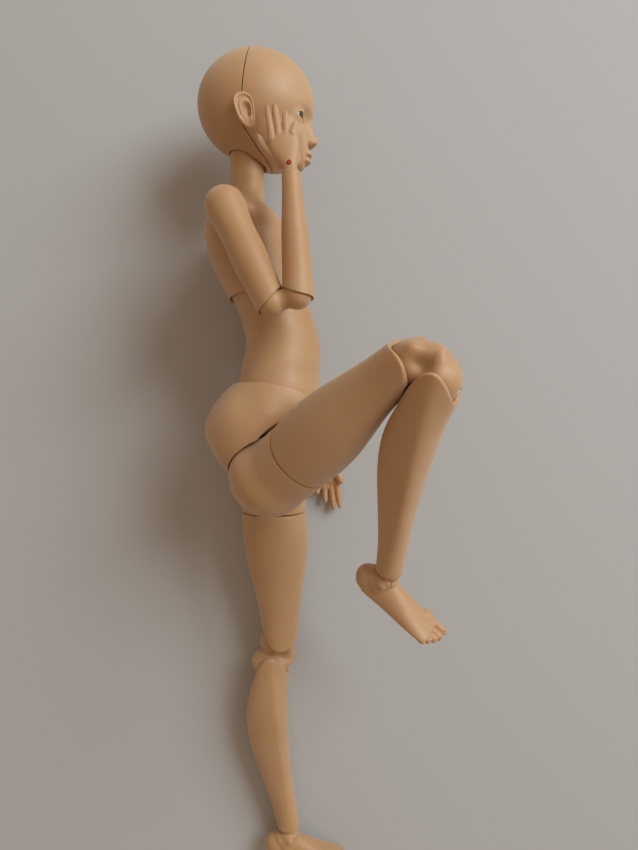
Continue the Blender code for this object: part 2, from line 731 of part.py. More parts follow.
# Joint frames of the torso
waist_place = Vector((0, 0, MIDDLE_HEIGHT))
upright = Matrix.Identity(4)
upright.translation = waist_place
joint_frame("doll_frame", None, Matrix.Identity(4))
joint_frame("pelvis_frame", "doll_frame", upright)
joint_frame("waist_frame", "pelvis_frame", upright)
rib_world = Matrix.Translation(waist_place + Vector((RIB_FORWARD, RIB_UP, 0)))
joint_frame("rib_frame", "waist_frame", rib_world)
neck_place = rib_world.to_translation() + Vector((NECK_FORWARD, NECK_UP, 0))
neck_world = Matrix.Translation(neck_place)
joint_frame("neck_frame", "rib_frame", neck_world)
joint_frame("nod_frame", "neck_frame", neck_world)


def shoulder_place(side):
    return rib_world.to_translation() + Vector((SHOULDER_FORWARD, SHOULDER_UP, side * SHOULDER_ASIDE))


def hip_place(side):
    return waist_place + Vector((HIP_FORWARD, HIP_UP, side * HIP_ASIDE))


# Joint frames of the right arm
arm_along = direction(RIGHT_ARM_TURN, RIGHT_ARM_LIFT)
forearm_along = direction(RIGHT_FOREARM_TURN, RIGHT_FOREARM_LIFT)
arm_side = arm_along.cross(forearm_along).normalized()
right_shoulder = frame_at(shoulder_place(1), arm_along, arm_side.cross(arm_along))
elbow_bend = arm_along.angle(forearm_along) / 2
joint_frame("right_shoulder_frame", "rib_frame", right_shoulder)
joint_frame("right_arm_frame", "right_shoulder_frame", right_shoulder)
right_elbow = bent(right_shoulder, elbow_bend, UPPER_ARM_LENGTH)
joint_frame("right_elbow_frame", "right_arm_frame", right_elbow)
right_forearm = bent(right_elbow, elbow_bend, ELBOW_LENGTH)
joint_frame("right_forearm_frame", "right_elbow_frame", right_forearm)
hand_along = direction(RIGHT_HAND_TURN, RIGHT_HAND_LIFT)
wrist_place = right_forearm @ Vector((0, 0, FOREARM_LENGTH))
right_hand = frame_at(wrist_place, hand_along, Vector((0, 0, 1)).cross(hand_along))
joint_frame("right_wrist_frame", "right_forearm_frame", bent(right_forearm, 0, FOREARM_LENGTH))
joint_frame("right_hand_frame", "right_wrist_frame", right_hand)

# Joint frames of the left arm
left_along = direction(LEFT_ARM_TURN, LEFT_ARM_LIFT)
left_shoulder = frame_at(shoulder_place(-1), left_along, Vector((1, 0, 0)))
joint_frame("left_shoulder_frame", "rib_frame", left_shoulder)
joint_frame("left_arm_frame", "left_shoulder_frame", left_shoulder)
left_elbow = bent(left_shoulder, radians(LEFT_FOREARM_BEND), UPPER_ARM_LENGTH)
joint_frame("left_elbow_frame", "left_arm_frame", left_elbow)
left_forearm = bent(left_elbow, radians(LEFT_FOREARM_BEND), ELBOW_LENGTH)
joint_frame("left_forearm_frame", "left_elbow_frame", left_forearm)
left_hand = bent(left_forearm, radians(LEFT_HAND_BEND), FOREARM_LENGTH)
joint_frame("left_wrist_frame", "left_forearm_frame", bent(left_forearm, 0, FOREARM_LENGTH))
joint_frame("left_hand_frame", "left_wrist_frame", left_hand)

# Joint frames of the right leg
thigh_along = direction(RIGHT_THIGH_TURN, RIGHT_THIGH_LIFT)
shin_along = direction(RIGHT_SHIN_TURN, RIGHT_SHIN_LIFT)
leg_side = shin_along.cross(thigh_along).normalized()
right_thigh = frame_at(hip_place(1), thigh_along, leg_side.cross(thigh_along))
knee_bend = thigh_along.angle(shin_along) / 2
joint_frame("right_hip_frame", "pelvis_frame", right_thigh)
joint_frame("right_thigh_frame", "right_hip_frame", right_thigh)
right_knee = bent(right_thigh, -knee_bend, THIGH_LENGTH)
joint_frame("right_knee_frame", "right_thigh_frame", right_knee)
right_shin = bent(right_knee, -knee_bend, KNEE_LENGTH)
joint_frame("right_shin_frame", "right_knee_frame", right_shin)
right_foot = bent(right_shin, radians(RIGHT_FOOT_BEND) - HALF_OPEN, SHIN_LENGTH)
joint_frame("right_ankle_frame", "right_shin_frame", bent(right_shin, 0, SHIN_LENGTH))
joint_frame("right_foot_frame", "right_ankle_frame", right_foot)

# Joint frames of the left leg
left_thigh = frame_at(hip_place(-1), direction(LEFT_THIGH_TURN, LEFT_THIGH_LIFT), Vector((1, 0, 0)))
joint_frame("left_hip_frame", "pelvis_frame", left_thigh)
joint_frame("left_thigh_frame", "left_hip_frame", left_thigh)
left_knee = bent(left_thigh, -radians(LEFT_KNEE_SETBACK), THIGH_LENGTH)
joint_frame("left_knee_frame", "left_thigh_frame", left_knee)
left_shin = bent(left_knee, radians(LEFT_KNEE_SETBACK + LEFT_SHIN_TURN), KNEE_LENGTH)
joint_frame("left_shin_frame", "left_knee_frame", left_shin)
left_foot = bent(left_shin, radians(LEFT_FOOT_BEND) - HALF_OPEN, SHIN_LENGTH)
joint_frame("left_ankle_frame", "left_shin_frame", bent(left_shin, 0, SHIN_LENGTH))
joint_frame("left_foot_frame", "left_ankle_frame", left_foot)

# Chest with the neck: a resin shell open at its underside
CHEST_ROWS = 10
BELLY_ROWS = 8
PELVIS_ROWS = 8
DOME_ROWS = 4
chest_stations = (CHEST_SEAM, CHEST_LOW, CHEST_RIBS, CHEST_BROAD, CHEST_HIGH, CHEST_SHOULDER,
                  NECK_BASE, NECK_LOW, NECK_HIGH)
chest_rings = torso_rings(chest_stations, CHEST_ROWS)
neck_ball_rings = dome_rings((NECK_FORWARD, NECK_UP), NECK_BALL_RADIUS, NECK_BALL_RADIUS, 1, NECK_BORE,
                             -NECK_BALL_RADIUS / 2, DOME_ROWS)
chest_rings += list(reversed(neck_ball_rings))
chest = finished("chest", skin(chest_rings, False), "rib_frame", resin("chest"))
rib_cut = rounded("chest_underside_cut", "rib_frame", (0, 0, 0), RIB_RADIUS + CUP_GAP,
                  RIB_RADIUS + CUP_GAP, RIB_HALF_WIDTH + CUP_GAP, TORSO_SIDES, TORSO_SIDES // 2)
cut(chest, rib_cut)
hollow_centre = (CHEST_HOLLOW_FORWARD, CHEST_HOLLOW_UP, 0)
chest_hollow = rounded("chest_hollow_cut", "rib_frame", hollow_centre, CHEST_HOLLOW_DEPTH,
                       CHEST_HOLLOW_HEIGHT, CHEST_HOLLOW_WIDTH, LIMB_SIDES, LIMB_SIDES // 2)
cut(chest, chest_hollow)
for side, side_name in ((1, "right"), (-1, "left")):
    centre = (SHOULDER_FORWARD, SHOULDER_UP, side * SHOULDER_ASIDE)
    socket = rounded(side_name + "_shoulder_cut", "rib_frame", centre, ARM_BALL_RADIUS + CUP_GAP,
                     ARM_BALL_RADIUS + CUP_GAP, ARM_BALL_RADIUS + CUP_GAP, LIMB_SIDES, LIMB_SIDES // 2)
    cut(chest, socket)
arm_way = rod("arm_cord_way", "rib_frame", (SHOULDER_FORWARD, SHOULDER_UP, -SHOULDER_ASIDE),
              (SHOULDER_FORWARD, SHOULDER_UP, SHOULDER_ASIDE), ARM_BORE, CORD_SIDES)
cut(chest, arm_way)
neck_top = (NECK_FORWARD, NECK_UP + NECK_BALL_RADIUS + CUP_GAP, 0)
neck_foot = (NECK_FORWARD, CHEST_HOLLOW_UP, 0)
cut(chest, rod("neck_cord_way", "rib_frame", neck_foot, neck_top, NECK_BORE, CORD_SIDES))

# Abdomen: a resin shell with a rounded end for each of its neighbours
belly_stations = (BELLY_SEAM, BELLY_HIGH, BELLY_MIDDLE, BELLY_FULL, BELLY_LOW)
belly_rings = dome_rings((RIB_FORWARD, RIB_UP), RIB_RADIUS, RIB_HALF_WIDTH, 1, BELLY_BORE,
                         BELLY_SEAM[0] - RIB_UP, DOME_ROWS)
belly_rings += torso_rings(belly_stations, BELLY_ROWS)
belly_rings += list(reversed(dome_rings((0, 0), WAIST_RADIUS, WAIST_HALF_WIDTH, -1, BELLY_BORE,
                                        -BELLY_LOW[0] + DOME_OVERLAP, DOME_ROWS + 2)))
for up, forward, depth, half in ((-BELLY_FLOOR, 0, BELLY_BORE, BELLY_BORE),
                                 (0, 0, BELLY_HOLLOW_DEPTH, BELLY_HOLLOW_WIDTH),
                                 (BELLY_MIDDLE[0], RIB_FORWARD / 2, BELLY_HOLLOW_DEPTH, BELLY_HOLLOW_WIDTH),
                                 (RIB_UP, RIB_FORWARD, BELLY_HOLLOW_DEPTH, BELLY_HOLLOW_WIDTH),
                                 (RIB_UP + BELLY_FLOOR, RIB_FORWARD, BELLY_BORE, BELLY_BORE)):
    belly_rings.append(torso_ring((forward - depth, forward + depth, half), drop_to(up)))
abdomen = finished("abdomen", skin(belly_rings, True), "waist_frame", resin("abdomen"))

# Pelvis: one resin piece with a cup on top and a socket for each hip
THIGH_ROOM_REACH = 60 * MM
THIGH_ROOM_RADIUS = 20.9 * MM
THIGH_ROOM_START = 8 * MM
THIGH_ROOM_START_RADIUS = 19.7 * MM
THIGH_ROOM_SETBACK = 1.8 * MM
THIGH_ROOM_TURNS = ((0, 0), (65, 20), (133, 37.5))


def thigh_room(name, centre, side):
    # The hull of the hip cap and of the thigh from hanging straight to fully raised
    builder = bmesh.new()
    for turn, lift in THIGH_ROOM_TURNS:
        along = direction(turn, lift)
        spin = frame_at(Vector(), along, Vector((0, 0, 1)).cross(along))
        for reach, radius, setback in ((THIGH_ROOM_START, THIGH_ROOM_START_RADIUS, THIGH_ROOM_SETBACK),
                                       (THIGH_ROOM_REACH, THIGH_ROOM_RADIUS, 0)):
            bmesh.ops.create_circle(builder, cap_ends=False, segments=LIMB_SIDES, radius=radius,
                                    matrix=spin @ Matrix.Translation((-setback, 0, reach)))
    hull = bmesh.ops.convex_hull(builder, input=builder.verts[:])
    loose = {item for item in hull["geom_interior"] + hull["geom_unused"] if isinstance(item, bmesh.types.BMVert)}
    bmesh.ops.delete(builder, geom=list(loose), context="VERTS")
    bmesh.ops.delete(builder, geom=[face for face in builder.faces if face not in hull["geom"]], context="FACES_ONLY")
    bmesh.ops.scale(builder, vec=(1, 1, side), verts=builder.verts)
    bmesh.ops.translate(builder, vec=centre, verts=builder.verts)
    return finished(name, builder, "pelvis_frame", None, False, cutter_collection)


pelvis_stations = (PELVIS_RIM, PELVIS_HIGH, PELVIS_BROAD, PELVIS_SEAT, PELVIS_LOW, PELVIS_FORK, PELVIS_CROTCH)
pelvis_rings = torso_rings(pelvis_stations, PELVIS_ROWS,
                           lambda angle: rim_height(PELVIS_RIM_FRONT, PELVIS_RIM_BACK, PELVIS_RIM_SIDE, angle))
pelvis = finished("pelvis", skin(pelvis_rings, False), "pelvis_frame", resin("pelvis"))
cut(pelvis, rounded("pelvis_cup_cut", "pelvis_frame", (0, 0, 0), WAIST_RADIUS + CUP_GAP, WAIST_RADIUS + CUP_GAP,
                    WAIST_HALF_WIDTH + CUP_GAP, TORSO_SIDES, TORSO_SIDES // 2))
for side, side_name in ((1, "right"), (-1, "left")):
    centre = (HIP_FORWARD, HIP_UP, side * HIP_ASIDE)
    cut(pelvis, thigh_room(side_name + "_thigh_room", centre, side))
    cut(pelvis, rounded(side_name + "_hip_cut", "pelvis_frame", centre, HIP_RADIUS + CUP_GAP, HIP_RADIUS + CUP_GAP,
                        HIP_RADIUS + CUP_GAP, TORSO_SIDES, TORSO_SIDES // 2))
cut(pelvis, rod("pelvis_cord_way", "pelvis_frame", (0, PELVIS_CORD_END - GAP, 0), (0, 0, 0), PELVIS_BORE,
                CORD_SIDES))

# Limbs
for side_name in ("right", "left"):
    build_upper_arm(side_name + "_upper_arm", side_name + "_arm_frame")
    bean(side_name + "_elbow", side_name + "_elbow_frame", ELBOW_BALL, ELBOW_WAIST, ELBOW_LENGTH, 0, 0, ARM_BORE)
    build_forearm(side_name + "_forearm", side_name + "_forearm_frame")
    build_hip(side_name + "_hip", side_name + "_hip_frame")
    build_thigh(side_name + "_thigh", side_name + "_thigh_frame")
    bean(side_name + "_knee", side_name + "_knee_frame", KNEE_BALL, KNEE_WAIST, KNEE_LENGTH, KNEECAP_FORWARD,
         KNEECAP_RADIUS, THIGH_BORE)
    build_shin(side_name + "_shin", side_name + "_shin_frame")

# Hands and feet
FINGER_SHARES = (0, 0.3, 0.62, 0.9, 1)
FINGER_FULLNESS = (1, 0.98, 0.9, 0.78, 0.4)
FINGER_BENDS = (0, 0.05, 0.3, 0.8, 1)


def joined(target, piece):
    cut(target, piece, "UNION")


def tapered(name, parent_name, start, end, radius, tip_share, sag, sides):
    # A finger or a toe: rings along a line that sags to one side
    span = end - start
    rings = []
    turn = span.to_track_quat("Z", "Y").to_matrix()
    for share, fullness, bend in zip(FINGER_SHARES, FINGER_FULLNESS, FINGER_BENDS):
        size = radius * (fullness - (1 - tip_share) * share * share)
        middle = start + span * share + sag * bend
        rings.append(ring(sides, lambda angle: middle + turn @ Vector((size * cos(angle), size * sin(angle), 0))))
    return finished(name, skin(rings, False), parent_name, None, True, cutter_collection)


def turned(name, parent_name, profile, sides, look=None, home=None):
    # Rings of the given radius and height about the joint's own long axis
    rings = [ring(sides, lambda angle: Vector((radius * cos(angle), radius * sin(angle), depth)))
             for radius, depth in profile]
    return finished(name, skin(rings, False), parent_name, look, True, home or cutter_collection)


def hook_profile(knob, wire, foot, length):
    return ((knob * HOOK_FOOT_SHARE, knob), (knob, 0), (wire, -knob), (wire, foot - length),
            (foot, -length), (foot * HOOK_FOOT_SHARE, -length - foot * HOOK_FOOT_SHARE))


def build_hand(name, parent_name, palm):
    # palm is 1 when the palm looks along the side axis and -1 when it looks the other way
    rings = []
    for depth, half, thick in ((PALM_START, PALM_START_HALF, HAND_THICK), (PALM_MIDDLE, PALM_MIDDLE_HALF, HAND_THICK),
                               (PALM_END, PALM_END_HALF, HAND_THICK * PALM_THIN_SHARE)):
        rings.append(ring(PALM_SIDES, lambda angle: Vector((half * cos(angle), thick * sin(angle), depth))))
    hand = finished(name, skin(rings, False), parent_name, resin(name))
    joined(hand, rounded(name + "_ball", parent_name, (0, 0, 0), WRIST_BALL, WRIST_BALL, WRIST_BALL, PALM_SIDES,
                         PALM_SIDES // 2))
    for finger, aside, spread, length in (("index", INDEX_ASIDE, INDEX_SPREAD, INDEX_LENGTH),
                                          ("middle", MIDDLE_ASIDE, MIDDLE_SPREAD, MIDDLE_LENGTH),
                                          ("ring", RING_ASIDE, RING_SPREAD, RING_LENGTH),
                                          ("little", LITTLE_ASIDE, LITTLE_SPREAD, LITTLE_LENGTH)):
        joined(hand, tapered(name + "_" + finger, parent_name, Vector((aside, 0, FINGER_ROOT)),
                             Vector((spread, 0, length)), FINGER_RADIUS, FINGER_TIP_SHARE,
                             Vector((0, palm * FINGER_CURL, 0)), FINGER_SIDES))
    joined(hand, tapered(name + "_thumb", parent_name, Vector((THUMB_ASIDE, palm * THUMB_PALMWARD / 2, THUMB_START)),
                         Vector((THUMB_SPREAD, palm * THUMB_PALMWARD, THUMB_LENGTH)), THUMB_RADIUS,
                         FINGER_TIP_SHARE, Vector((0, 0, 0)), FINGER_SIDES))
    cut(hand, turned(name + "_hook_way", parent_name, ((WRIST_MOUTH, -WRIST_BALL), (HOOK_SEAT, 0),
                                                       (HOOK_KNOB, HOOK_SEAT)), CORD_SIDES))
    cut(hand, rod(name + "_bead_hole", parent_name, (0, -palm * BEAD_HOLE_START, BEAD_UP),
                  (0, -palm * BEAD_HOLE_END, BEAD_UP), BEAD_HOLE_RADIUS, CORD_SIDES))
    return hand


def foot_ring(forward, half, rise):
    def place(angle):
        height = rise - SOLE_EDGE if sin(angle) > 0 else SOLE_FULLNESS
        return Vector((forward, half * cos(angle), SOLE_DROP - SOLE_EDGE - height * sin(angle)))

    return ring(FOOT_SIDES, place)


def build_foot(name, parent_name, side):
    stations = ((HEEL_BACK, HEEL_HALF, HEEL_RISE), (HEEL_MIDDLE, HEEL_MIDDLE_HALF, HEEL_MIDDLE_RISE),
                (INSTEP, INSTEP_HALF, INSTEP_RISE), (ARCH, ARCH_HALF, ARCH_RISE),
                (FOOT_BALL, FOOT_BALL_HALF, FOOT_BALL_RISE), (TOE_ROOT, TOE_ROOT_HALF, TOE_ROOT_RISE))
    foot = finished(name, skin([foot_ring(*station) for station in stations], False), parent_name, resin(name))
    joined(foot, turned(name + "_ankle", parent_name, ((ANKLE_BALL * ANKLE_CUP_SHARE, -ANKLE_BALL * ANKLE_CUP_DEPTH),
                                                       (ANKLE_BALL, 0), (ANKLE_NECK, ANKLE_NECK_DROP),
                                                       (INSTEP_HALF - GAP, HEEL_RISE)), PALM_SIDES))
    joined(foot, rounded(name + "_ball", parent_name, (0, 0, 0), ANKLE_BALL, ANKLE_BALL, ANKLE_BALL, FOOT_SIDES,
                         FOOT_SIDES // 2))
    for toe, aside, tip, radius in (("big", BIG_TOE_ASIDE, BIG_TOE_TIP, BIG_TOE_RADIUS),
                                    ("second", SECOND_TOE_ASIDE, SECOND_TOE_TIP, TOE_RADIUS),
                                    ("third", THIRD_TOE_ASIDE, THIRD_TOE_TIP, TOE_RADIUS),
                                    ("fourth", FOURTH_TOE_ASIDE, FOURTH_TOE_TIP, TOE_RADIUS),
                                    ("fifth", FIFTH_TOE_ASIDE, FIFTH_TOE_TIP, TOE_RADIUS)):
        height = SOLE_DROP - radius - TOE_RISE
        joined(foot, tapered(name + "_" + toe + "_toe", parent_name, Vector((TOE_START, side * aside, height)),
                             Vector((tip, side * aside, height)), radius, FINGER_TIP_SHARE, Vector((0, 0, 0)),
                             FINGER_SIDES))
    cut(foot, turned(name + "_hook_way", parent_name, ((ANKLE_MOUTH, -ANKLE_BALL), (HOOK_SEAT, 0),
                                                       (HOOK_KNOB, HOOK_SEAT)), CORD_SIDES))
    ground = bmesh.new()
    bmesh.ops.create_cube(ground, size=2 * SOLE_CUT)
    bmesh.ops.translate(ground, vec=(0, 0, SOLE_DROP + SOLE_CUT), verts=ground.verts)
    cut(foot, finished(name + "_sole_cut", ground, parent_name, None, False, cutter_collection))
    return foot


PALM_SIDES = 12
FOOT_SIDES = 12
PALM_THIN_SHARE = 0.72
FINGER_TIP_SHARE = 0.75
ANKLE_CUP_SHARE = 0.5
ANKLE_CUP_DEPTH = 0.6
ANKLE_NECK = 6.2 * MM
ANKLE_NECK_DROP = 3.3 * MM
for side, side_name in ((1, "right"), (-1, "left")):
    build_hand(side_name + "_hand", side_name + "_hand_frame", -side)
    build_foot(side_name + "_foot", side_name + "_foot_frame", side)
    for joint, knob_frame in (("wrist", side_name + "_wrist_frame"), ("ankle", side_name + "_ankle_frame")):
        name = side_name + "_" + joint + "_hook"
        turned(name, knob_frame, hook_profile(HOOK_KNOB, HOOK_WIRE, HOOK_FOOT, HOOK_LENGTH), CORD_SIDES, steel(name),
               doll_collection)
    bead = side_name + "_wrist_bead"
    made = rounded(bead, side_name + "_hand_frame", (0, side * BEAD_OUT, BEAD_UP), BEAD_RADIUS, BEAD_RADIUS,
                   BEAD_RADIUS, CORD_SIDES, CORD_SIDES // 2, doll_collection)
    made.data.materials.append(red_elastic(bead))

# Elastic, one run in the bore of each piece
for side_name in ("right", "left"):
    for piece, frame_name, radius, start, end in (
            ("upper_arm", "arm", ARM_CORD, CORD_END - ARM_BALL_RADIUS,
             UPPER_ARM_LENGTH - ELBOW_BALL - SOCKET_GAP - CORD_END),
            ("elbow", "elbow", ARM_CORD, CORD_END - ELBOW_BALL, ELBOW_LENGTH + ELBOW_BALL - CORD_END),
            ("forearm", "forearm", ARM_CORD, ELBOW_BALL + SOCKET_GAP + CORD_END,
             FOREARM_LENGTH - HOOK_LENGTH - HOOK_FOOT - CORD_END),
            ("hip", "hip", LEG_CORD, CORD_END - HIP_RADIUS, HIP_CAP_END[0] - CORD_END),
            ("thigh", "thigh", LEG_CORD, THIGH_TOP[0] + CORD_END, THIGH_LENGTH - KNEE_BALL - SOCKET_GAP - CORD_END),
            ("knee", "knee", LEG_CORD, CORD_END - KNEE_BALL, KNEE_LENGTH + KNEE_BALL - CORD_END),
            ("shin", "shin", LEG_CORD, KNEE_BALL + SOCKET_GAP + CORD_END,
             SHIN_LENGTH - HOOK_LENGTH - HOOK_FOOT - CORD_END)):
        name = side_name + "_" + piece + "_elastic"
        rod(name, side_name + "_" + frame_name + "_frame", (0, 0, start), (0, 0, end), radius, CORD_SIDES,
            white_elastic(name), doll_collection)
cup_depth = sqrt((RIB_RADIUS + CUP_GAP) ** 2 - (NECK_FORWARD + TORSO_CORD) ** 2)
rod("chest_elastic", "rib_frame", (NECK_FORWARD, cup_depth + CORD_END, 0),
    (NECK_FORWARD, NECK_UP + HEAD_HOOK_SHANK - CORD_END, 0), TORSO_CORD, CORD_SIDES,
    white_elastic("chest_elastic"), doll_collection)
rod("pelvis_elastic", "pelvis_frame", (0, PELVIS_CORD_END, 0), (0, -WAIST_RADIUS - CUP_GAP - CORD_END, 0), TORSO_CORD,
    CORD_SIDES, white_elastic("pelvis_elastic"), doll_collection)
belly_route = ((0, CORD_END - WAIST_RADIUS), (0, -BELLY_FLOOR), (RIB_FORWARD, RIB_UP + BELLY_FLOOR),
               (RIB_FORWARD, RIB_UP + RIB_RADIUS - CORD_END))
belly_cord_rings = [ring(CORD_SIDES, lambda angle: Vector((forward + TORSO_CORD * cos(angle), up,
                                                           TORSO_CORD * sin(angle))))
                    for forward, up in belly_route]
finished("abdomen_elastic", skin(belly_cord_rings, False), "waist_frame", white_elastic("abdomen_elastic"))

# Head: a back shell on the neck ball and a faceplate held to it by magnets
HEAD_SIDES = 24
FACE_SIDES = 12


def head_egg(name, forward, up, aside, depth, height, half, sides):
    return rounded(name, "nod_frame", (forward, up, aside), depth, height, half, sides, sides // 2)


def seam_side(name, shift, far):
    # Everything on one side of the seam, out to the far place
    high = SKULL_UP + SKULL_DEPTH * 2
    corners = ((SEAM_FORWARD + shift, high), (SEAM_FORWARD + shift, SEAM_TURN_UP),
               (SEAM_JAW_FORWARD + shift, SEAM_JAW_UP), (SEAM_JAW_FORWARD + shift, -SKULL_DEPTH),
               (far, -SKULL_DEPTH), (far, high))
    rings = [[Vector((corner[0], corner[1], level)) for corner in corners] for level in (-SKULL_DEPTH, SKULL_DEPTH)]
    return finished(name, skin(rings, False), "nod_frame", None, False, cutter_collection)


def skull(name):
    shell = rounded(name, "nod_frame", (SKULL_FORWARD, SKULL_UP, 0), SKULL_DEPTH, SKULL_HEIGHT, SKULL_HALF_WIDTH,
                    HEAD_SIDES, HEAD_SIDES // 2, doll_collection)
    shell.data.materials.append(resin(name))
    joined(shell, head_egg(name + "_jaw", JAW_FORWARD, JAW_UP, 0, JAW_DEPTH, JAW_HEIGHT, JAW_HALF_WIDTH, LIMB_SIDES))
    return shell


hollow = head_egg("head_hollow_cut", SKULL_FORWARD, HEAD_HOLLOW_UP, 0, HEAD_HOLLOW_DEPTH, HEAD_HOLLOW_HEIGHT,
                  HEAD_HOLLOW_WIDTH, TORSO_SIDES)
neck_room = head_egg("neck_ball_cut", 0, 0, 0, NECK_BALL_RADIUS + CUP_GAP, NECK_BALL_RADIUS + CUP_GAP,
                     NECK_BALL_RADIUS + CUP_GAP, LIMB_SIDES)
neck_mouth_rings = [ring(LIMB_SIDES, lambda angle: Vector((radius * cos(angle), up, radius * sin(angle))))
                    for radius, up in ((NECK_HOLE_RADIUS, -NECK_HOLE_DROP), (NECK_BALL_RADIUS, 0))]
neck_mouth = finished("neck_mouth_cut", skin(neck_mouth_rings, False), "nod_frame", None, True, cutter_collection)
hook_room = rod("head_hook_cut", "nod_frame", (0, 0, 0), (0, NECK_HOOK_REACH, 0), NECK_HOOK_HOLE, LIMB_SIDES)
magnet_spots = (("crown", CROWN_MAGNET_UP, 0), ("right_cheek", CHEEK_MAGNET_UP, CHEEK_MAGNET_ASIDE),
                ("left_cheek", CHEEK_MAGNET_UP, -CHEEK_MAGNET_ASIDE))
magnet_reach = MAGNET_LENGTH + 2 * GAP
magnet_holes = [rod(spot + "_magnet_cut", "nod_frame", (SEAM_FORWARD - magnet_reach, up, aside),
                    (SEAM_FORWARD + magnet_reach, up, aside), MAGNET_RADIUS + GAP, CORD_SIDES)
                for spot, up, aside in magnet_spots]

head_back = skull("head_back")
cut(head_back, hollow)
cut(head_back, neck_room)
cut(head_back, neck_mouth)
cut(head_back, hook_room)
cut(head_back, seam_side("seam_front_cut", -GAP / 2, SKULL_DEPTH * 2))
faceplate = skull("head_faceplate")
joined(faceplate, head_egg("chin", CHIN_FORWARD, CHIN_UP, 0, CHIN_SIZE, CHIN_SIZE, CHIN_SIZE, FACE_SIDES))
joined(faceplate, head_egg("nose", NOSE_FORWARD, NOSE_UP, 0, NOSE_SIZE, NOSE_LENGTH, NOSE_SIZE, FACE_SIDES))
joined(faceplate, head_egg("lips", LIPS_FORWARD, LIPS_UP, 0, LIPS_DEPTH, LIPS_HEIGHT, LIPS_HALF_WIDTH, FACE_SIDES))
cut(faceplate, hollow)
cut(faceplate, neck_room)
cut(faceplate, neck_mouth)
cut(faceplate, seam_side("seam_back_cut", GAP, -SKULL_DEPTH * 2))
for side, side_name in ((1, "right"), (-1, "left")):
    cut(faceplate, head_egg(side_name + "_eye_socket_cut", EYE_FORWARD, EYE_UP, side * EYE_ASIDE, EYE_RADIUS + GAP,
                            EYE_RADIUS + GAP, EYE_RADIUS + GAP, LIMB_SIDES))
    cut(faceplate, head_egg(side_name + "_eye_opening_cut", EYE_FORWARD + EYE_RADIUS, EYE_UP, side * EYE_ASIDE,
                            EYE_OPENING_DEPTH, EYE_OPENING_HALF_HEIGHT, EYE_OPENING_HALF_WIDTH, FACE_SIDES))
    joined(faceplate, head_egg(side_name + "_ear", EAR_FORWARD, EAR_UP, side * EAR_ASIDE, EAR_DEPTH, EAR_HEIGHT,
                               EAR_THICK, FACE_SIDES))
    cut(head_back, head_egg(side_name + "_ear_cut", EAR_FORWARD, EAR_UP, side * EAR_ASIDE, EAR_DEPTH + GAP,
                            EAR_HEIGHT + GAP, EAR_THICK + GAP, FACE_SIDES))
    eye = rounded(side_name + "_eye", "nod_frame", (EYE_FORWARD, EYE_UP, side * EYE_ASIDE), EYE_RADIUS, EYE_RADIUS,
                  EYE_RADIUS, LIMB_SIDES, LIMB_SIDES // 2, doll_collection)
    eye.data.materials.append(material(side_name + "_eye_glass", EYE_COLOUR, EYE_ROUGHNESS, 0))
for hole, (spot, up, aside) in zip(magnet_holes, magnet_spots):
    cut(head_back, hole)
    cut(faceplate, hole)
    for shell_name, near, far in (("back", -GAP - MAGNET_LENGTH, -GAP), ("face", GAP * 1.5, GAP * 1.5 + MAGNET_LENGTH)):
        name = spot + "_magnet_" + shell_name
        rod(name, "nod_frame", (SEAM_FORWARD + near, up, aside), (SEAM_FORWARD + far, up, aside), MAGNET_RADIUS,
            CORD_SIDES, material(name + "_metal", MAGNET_COLOUR, STEEL_ROUGHNESS, 1), doll_collection)
bar_up = NECK_BALL_RADIUS + HEAD_HOOK_SEAT
head_hook = rod("head_hook", "neck_frame", (0, bar_up, -HEAD_HOOK_HALF), (0, bar_up, HEAD_HOOK_HALF), HEAD_HOOK_WIRE,
                CORD_SIDES, steel("head_hook"), doll_collection)
joined(head_hook, rod("head_hook_shank", "neck_frame", (0, HEAD_HOOK_SHANK, 0), (0, bar_up, 0), HEAD_HOOK_WIRE * SHANK_SHARE,
                      CORD_SIDES))

# Stand the doll on the ground, centred on the origin
bpy.context.view_layer.update()
depsgraph = bpy.context.evaluated_depsgraph_get()
corners = []
for made in doll_collection.objects:
    if made.type == "MESH":
        shown = made.evaluated_get(depsgraph)
        mesh = shown.to_mesh()
        corners += [made.matrix_world @ vertex.co for vertex in mesh.vertices]
        shown.to_mesh_clear()
low = [min(corner[axis] for corner in corners) for axis in range(3)]
high = [max(corner[axis] for corner in corners) for axis in range(3)]
bpy.data.objects["doll_frame"].location = (-(low[0] + high[0]) / 2, -(low[1] + high[1]) / 2, -low[2])
bpy.context.view_layer.update()
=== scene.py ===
import json
from math import acos, cos, degrees, exp, pi, radians, sin, sqrt

import bmesh
import bpy
import numpy as np
from mathutils import Matrix, Vector


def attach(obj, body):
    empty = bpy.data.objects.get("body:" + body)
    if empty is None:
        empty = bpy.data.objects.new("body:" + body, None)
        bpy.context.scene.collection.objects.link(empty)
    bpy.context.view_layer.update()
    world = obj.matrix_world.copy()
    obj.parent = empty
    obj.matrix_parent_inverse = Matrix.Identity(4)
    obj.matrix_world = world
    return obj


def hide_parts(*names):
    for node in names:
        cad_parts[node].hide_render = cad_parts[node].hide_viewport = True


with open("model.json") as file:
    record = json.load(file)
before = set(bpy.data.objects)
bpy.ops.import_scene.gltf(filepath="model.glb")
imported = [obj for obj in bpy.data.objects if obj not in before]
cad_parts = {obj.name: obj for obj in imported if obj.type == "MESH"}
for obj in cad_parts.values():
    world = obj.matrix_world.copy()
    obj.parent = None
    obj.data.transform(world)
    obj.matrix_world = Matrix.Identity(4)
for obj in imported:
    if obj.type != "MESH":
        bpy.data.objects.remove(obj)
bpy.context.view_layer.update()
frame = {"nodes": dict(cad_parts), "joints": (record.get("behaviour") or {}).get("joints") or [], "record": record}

MM = 0.001
SIDES = ((1, "right"), (-1, "left"))

